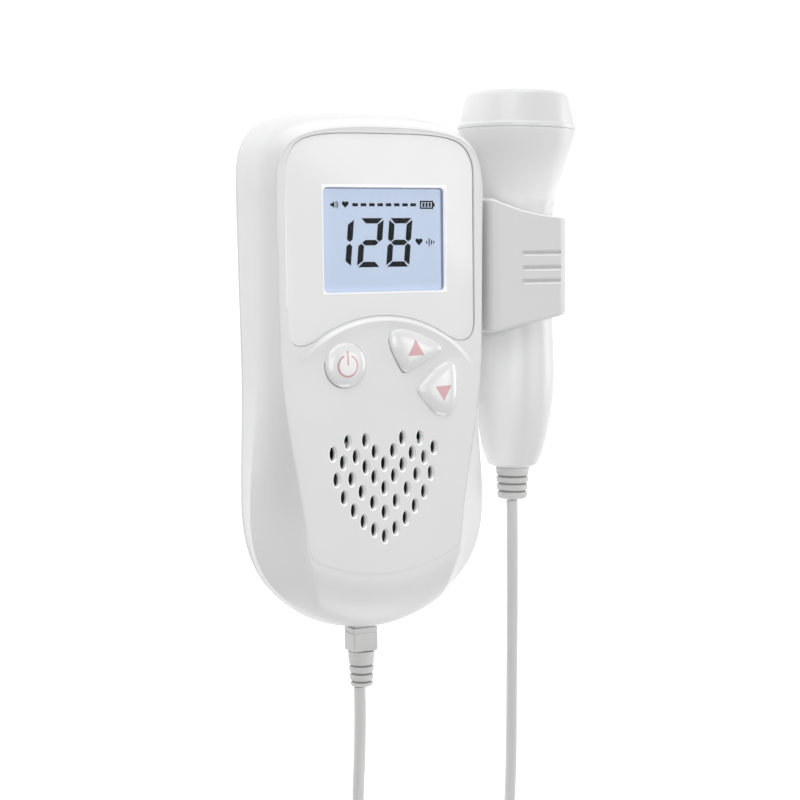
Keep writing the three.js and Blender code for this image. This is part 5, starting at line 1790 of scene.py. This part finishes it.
# The free stretches, from the probe's sleeve and from the plug's to the coil
PROBE_LEAD = [
    (48.4, -46, 16.8),
    (48.8, -54, 16.1),
    (49.9, -63, 14.2),
    (51.6, -72, 11.4),
    (53.5, -82, 8.1),
    (55.2, -92, 5.1),
    (56.3, -102, 3.1),
    (56.6, -112, 2.4),
    (56.3, -122, 2.35),
    (55.8, -132, 2.35),
    (55.4, -142, 2.35),
]
PLUG_LEAD = [
    (0, -85.4, 16.5),
    (0.2, -93, 16.1),
    (0.9, -101, 14.4),
    (2, -109, 11.6),
    (3.2, -117, 8.4),
    (4.6, -125, 5.6),
    (5.7, -133, 3.6),
    (6.4, -140, 3.4),
    (6.6, -147, 4.9),
]
# How many points before a free stretch's fixed end the bends table reads its start; the stretches are not
# bent by it
BEND_POINTS = 6


def coil_line():
    """The middle line of the stored coil: in towards its middle, one layer up, and out again."""
    half_run = COIL["pitch"] * COIL["turns"] / 2
    outer = COIL["middle"] + half_run / 2
    reverse = math.pi * COIL["turns"]
    points = []
    for i in range(int(COIL["turns"] * COIL_STEPS) + 1):
        angle = 2 * math.pi * i / COIL_STEPS
        drift = COIL["pitch"] * (angle if angle < reverse else angle - reverse) / (2 * math.pi)
        radius = outer - drift if angle < reverse else outer - half_run + drift
        climb = eased((angle - reverse + math.pi / 2) / math.pi)
        x, y = COIL["x"] + radius * math.cos(angle), COIL["y"] - radius * math.sin(angle)
        points.append(Vector((x, y, COIL["floor"] + climb * COIL["pitch"])))
    step = Vector((0, COIL_END, 0))
    return [points[0] + step, *points, points[-1] + step]


def line_length(points):
    """The length in metres of a line in millimetres."""
    return sum((b - a).length for a, b in zip(points, points[1:])) * MM


def cord_tube(name, points, diameter):
    """A round cord along points, as a mesh with capped ends."""
    curve = bpy.data.curves.new(name, "CURVE")
    curve.dimensions = "3D"
    curve.bevel_depth = diameter / 2
    curve.bevel_resolution = CORD_ROUNDING
    curve.use_fill_caps = True
    spline = curve.splines.new("POLY")
    spline.points.add(len(points) - 1)
    for spot, point in zip(spline.points, points):
        spot.co = (*(point * MM), 1)
    tube = bpy.data.objects.new(name, curve)
    bpy.context.scene.collection.objects.link(tube)
    pick(tube)
    bpy.ops.object.convert(target="MESH")
    edit_all(tube, merge_doubles, face_outward)
    shade(tube, 60, weighted=False)
    return tube


class DOPPLER_OT_cord(bpy.types.Operator):
    """Make the cord: the stretch from the probe, the stored coil with its tie and the stretch to the plug"""

    bl_idname = "doppler.cord"
    bl_label = "Cord"

    def execute(self, context):
        cord = context.scene.doppler_cord
        diameter = cord.diameter
        coil = coil_line()
        step = Vector((0, GAP, 0))
        tail = probe_place(PROBE_LENGTH + RELIEF_LENGTH + 2 * GAP).translation / MM
        probe_lead = through([tail, *PROBE_LEAD, coil[0] + step], 3)
        plug_lead = through([*PLUG_LEAD, coil[-1] + step], 3)
        pieces = {
            "lead_from_probe": (probe_lead, "cord_probe", "loose"),
            "stored_coil": (through(coil, 2), "cord_coil", "coiled"),
            "lead_to_plug": (plug_lead, "cord_plug", "loose"),
        }
        for name, (line, node, lay) in pieces.items():
            tube = cord_tube(name, line, diameter)
            jacket = moulded("jacket_" + node, cord.colour, 0.45, grain=0.003)
            finish_piece(tube, jacket.done(), "case", [node])
            path = [point * MM for point in line]
            size = {"length": line_length(line), "diameter": diameter}
        bends = {
            "lead_from_probe": ("probe", Vector(probe_lead[-BEND_POINTS]), tail),
            "lead_to_plug": ("plug", Vector(plug_lead[-BEND_POINTS]), Vector(PLUG_LEAD[0])),
        }
        for name, (body, start, finish) in bends.items():
            tube = bpy.data.objects[name]
            tube.parent = None
            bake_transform(tube)
        tie = soften("coil_tie", "cord_tie", 0.15)
        band = moulded("tie_band", cord.colour, 0.5)
        finish_piece(tie, band.done(), "case", ["coil_tie"])
        return {"FINISHED"}


# What is inside the case and the probe: each slot's finish, colour, roughness and metal share
INNER = {
    "board_green": ("circuit_lacquer", (0.014, 0.15, 0.06), 0.3, 0.0),
    "black_plastic": ("black_nylon", (0.013, 0.013, 0.014), 0.45, 0.0),
    "grey_plastic": ("grey_nylon", (0.25, 0.26, 0.27), 0.45, 0.0),
    "steel": ("zinc_steel", (0.5, 0.51, 0.53), 0.32, 1.0),
    "nickel": ("nickel_spring", (0.62, 0.6, 0.56), 0.22, 1.0),
    "magnet": ("sintered_magnet", (0.04, 0.04, 0.045), 0.4, 0.6),
    "cone_paper": ("cone_paper", (0.03, 0.03, 0.032), 0.85, 0.0),
    "cell_sleeve": ("cell_sleeve", (0.03, 0.12, 0.4), 0.3, 0.0),
    "crystal": ("fired_ceramic", (0.68, 0.62, 0.43), 0.35, 0.0),
    "foam": ("backing_foam", (0.09, 0.093, 0.1), 0.9, 0.0),
    "backlight": ("backlight_guide", (0.78, 0.83, 0.95), 0.35, 0.0),
    "case_white": ("moulded_inner", (0.78, 0.78, 0.79), 0.4, 0.0),
}


def worn(name, colour, roughness, metal):
    """A finish for an inner piece: brushed or speckled, with dulled patches."""
    finish = Finish(name, colour, metallic=metal)
    stretch = (1, 12, 1) if metal else (1, 1, 1)
    streak = finish.noise(1.6, 4, stretch)
    finish.tint(streak.below(0.48, 0.15) * 0.5, shaded(colour, 0.82))
    speck = finish.noise(0.35, 2)
    finish.tint(speck.below(0.34, 0.06) * 0.5, shaded(colour, 1.3))
    finish.feed(finish.shader.inputs["Roughness"], streak * 0.15 + (roughness - 0.07))
    finish.relief(streak * 0.6 + speck * 0.4, 0.01)
    return finish.done()


class DOPPLER_OT_inner(bpy.types.Operator):
    """Give the pieces inside the case and the probe their finishes"""

    bl_idname = "doppler.inner"
    bl_label = "Inner pieces"

    def execute(self, context):
        made = {}
        for entry in frame["record"]["subparts"]:
            node, slot = frame["nodes"][entry["node"]], entry["material_slot"]
            if node.hide_render:
                continue
            if slot not in made:
                made[slot] = worn(*INNER[slot])
            node.data.materials.clear()
            node.data.materials.append(made[slot])
        return {"FINISHED"}


# The studio: the camera's place in millimetres, and its azimuth, tilt and roll in radians
CAMERA_PLACE = (-215.8, 31.9, 441.7)
CAMERA_AIM = (0.494185, 0.083866, -0.011214)
SENSOR_WIDTH = 36
# Each lamp is a square that looks at one spot; its place in millimetres and its share of the power
LAMP_SIZE = 500
LAMP_AIM = (10, 0, 10)
LAMPS = {
    "top_lamp": ((90, 855, 270), 0.31),
    "upper_left_lamp": ((-448, 648, 457), 0.36),
    "left_lamp": ((-893, 50, 60), 0.22),
    "right_lamp": ((889, 89, 107), 0.55),
    "front_right_lamp": ((448, 0, 780), 0.3),
    "lower_lamp": ((260, -800, 300), 0.44),
    "front_lamp": ((-317, 45, 841), 0.45),
}
# White card whose reflection lies on the screen: middle, turn about z, width, height and share
CARD_PLACE = (278.1, 102, 500)
CARD_TURN = -30.8
CARD_SIZE = (200, 120)
CARD_SHARE = 0.0167
PAPER_COLOUR = (0.86, 0.86, 0.86)
# Share of the floor's white that reflections see
GLOSSY_SHARE = 0.2


def camera_turn():
    """The camera's turn from its azimuth, its tilt and its roll."""
    azimuth, tilt, roll = CAMERA_AIM
    back = Vector((-math.cos(tilt) * math.sin(azimuth), math.sin(tilt), math.cos(tilt) * math.cos(azimuth)))
    right = Vector((math.cos(azimuth), 0, math.sin(azimuth)))
    up = back.cross(right)
    level = Matrix((right, up, back)).transposed()
    return (level @ Matrix.Rotation(roll, 3, "Z")).to_4x4()


def lamp(name, place, width, height, power):
    """A soft lamp at a place in millimetres, not seen itself."""
    light = bpy.data.lights.new(name, "AREA")
    light.shape = "RECTANGLE"
    light.size = width * MM
    light.size_y = height * MM
    light.energy = power
    piece = bpy.data.objects.new(name, light)
    bpy.context.scene.collection.objects.link(piece)
    piece.visible_camera = False
    piece.location = Vector(place) * MM
    return piece


class DOPPLER_OT_stage(bpy.types.Operator):
    """Make the pale floor, the sky, the soft lamps and the camera"""

    bl_idname = "doppler.stage"
    bl_label = "Studio"

    def execute(self, context):
        stage = context.scene.doppler_stage
        clear_selection()
        bpy.ops.mesh.primitive_plane_add(size=stage.floor_size)
        floor = context.object
        floor.name = "floor"
        paper = Finish("floor_paper", PAPER_COLOUR, roughness=0.9)
        paper.relief(paper.noise(3, 2), 0.02)
        paper.constants(emission_color=(1, 1, 1, 1))
        rays = paper.node("ShaderNodeLightPath").outputs
        seen = Number(paper, rays["Is Glossy Ray"]) * GLOSSY_SHARE + Number(paper, rays["Is Camera Ray"])
        paper.feed(paper.shader.inputs["Emission Strength"], seen * stage.floor_white + stage.floor_light)
        floor.data.materials.append(paper.done())

        world = bpy.data.worlds.new("studio_sky")
        context.scene.world = world
        world.use_nodes = True
        nodes, links = world.node_tree.nodes, world.node_tree.links
        path = nodes.new("ShaderNodeLightPath")
        blend = nodes.new("ShaderNodeMix")
        blend.inputs[2].default_value = stage.sky
        blend.inputs[3].default_value = 1
        links.new(path.outputs["Is Camera Ray"], blend.inputs[0])
        links.new(blend.outputs[0], nodes["Background"].inputs["Strength"])
        nodes["Background"].inputs["Color"].default_value = (1, 1, 1, 1)

        for name, (place, share) in LAMPS.items():
            light = lamp(name, place, LAMP_SIZE, LAMP_SIZE, share * stage.lamp_power)
            aim = Vector(LAMP_AIM) - Vector(place)
            light.rotation_euler = aim.to_track_quat("-Z", "Y").to_euler()
        card = lamp("white_card", CARD_PLACE, *CARD_SIZE, CARD_SHARE * stage.lamp_power)
        card.rotation_euler = (0, 0, math.radians(CARD_TURN))

        camera = bpy.data.cameras.new("camera")
        camera.lens = stage.lens
        camera.sensor_width = SENSOR_WIDTH
        viewer = bpy.data.objects.new("camera", camera)
        context.scene.collection.objects.link(viewer)
        viewer.matrix_world = Matrix.Translation(Vector(CAMERA_PLACE) * MM) @ camera_turn()
        context.scene.camera = viewer
        context.scene.view_settings.view_transform = "Standard"
        return {"FINISHED"}


SETTINGS = {
    "doppler_case": CaseSettings,
    "doppler_screen": ScreenSettings,
    "doppler_cord": CordSettings,
    "doppler_stage": StageSettings,
}
OPERATORS = [
    DOPPLER_OT_stage,
    DOPPLER_OT_cord,
    DOPPLER_OT_front_shell,
    DOPPLER_OT_rear_shell,
    DOPPLER_OT_battery_door,
    DOPPLER_OT_screen,
    DOPPLER_OT_keys,
    DOPPLER_OT_holder,
    DOPPLER_OT_probe,
    DOPPLER_OT_sleeves,
    DOPPLER_OT_inner,
]


class DOPPLER_PT_looks(bpy.types.Panel):
    """The monitor's pieces and settings, in the sidebar"""

    bl_label = "Doppler"
    bl_space_type = "VIEW_3D"
    bl_region_type = "UI"
    bl_category = "Doppler"

    def draw(self, context):
        layout = self.layout
        for name, settings in SETTINGS.items():
            box = layout.box()
            box.label(text=settings.__doc__)
            group = getattr(context.scene, name)
            for setting in settings.__annotations__:
                box.prop(group, setting)
        for operator in OPERATORS:
            layout.operator(operator.bl_idname)


def register():
    """Registers the settings, the operators and the panel."""
    for name, settings in SETTINGS.items():
        bpy.utils.register_class(settings)
        setattr(bpy.types.Scene, name, bpy.props.PointerProperty(type=settings))
    for operator in OPERATORS:
        bpy.utils.register_class(operator)
    bpy.utils.register_class(DOPPLER_PT_looks)


def unregister():
    """Removes the panel, the operators and the settings."""
    bpy.utils.unregister_class(DOPPLER_PT_looks)
    for operator in reversed(OPERATORS):
        bpy.utils.unregister_class(operator)
    for name, settings in reversed(SETTINGS.items()):
        delattr(bpy.types.Scene, name)
        bpy.utils.unregister_class(settings)


def main():
    """Registers the settings, the operators and the panel, and makes every piece in order."""
    register()
    for operator in OPERATORS:
        group, name = operator.bl_idname.split(".")
        getattr(getattr(bpy.ops, group), name)()


if __name__ == "__main__":
    main()
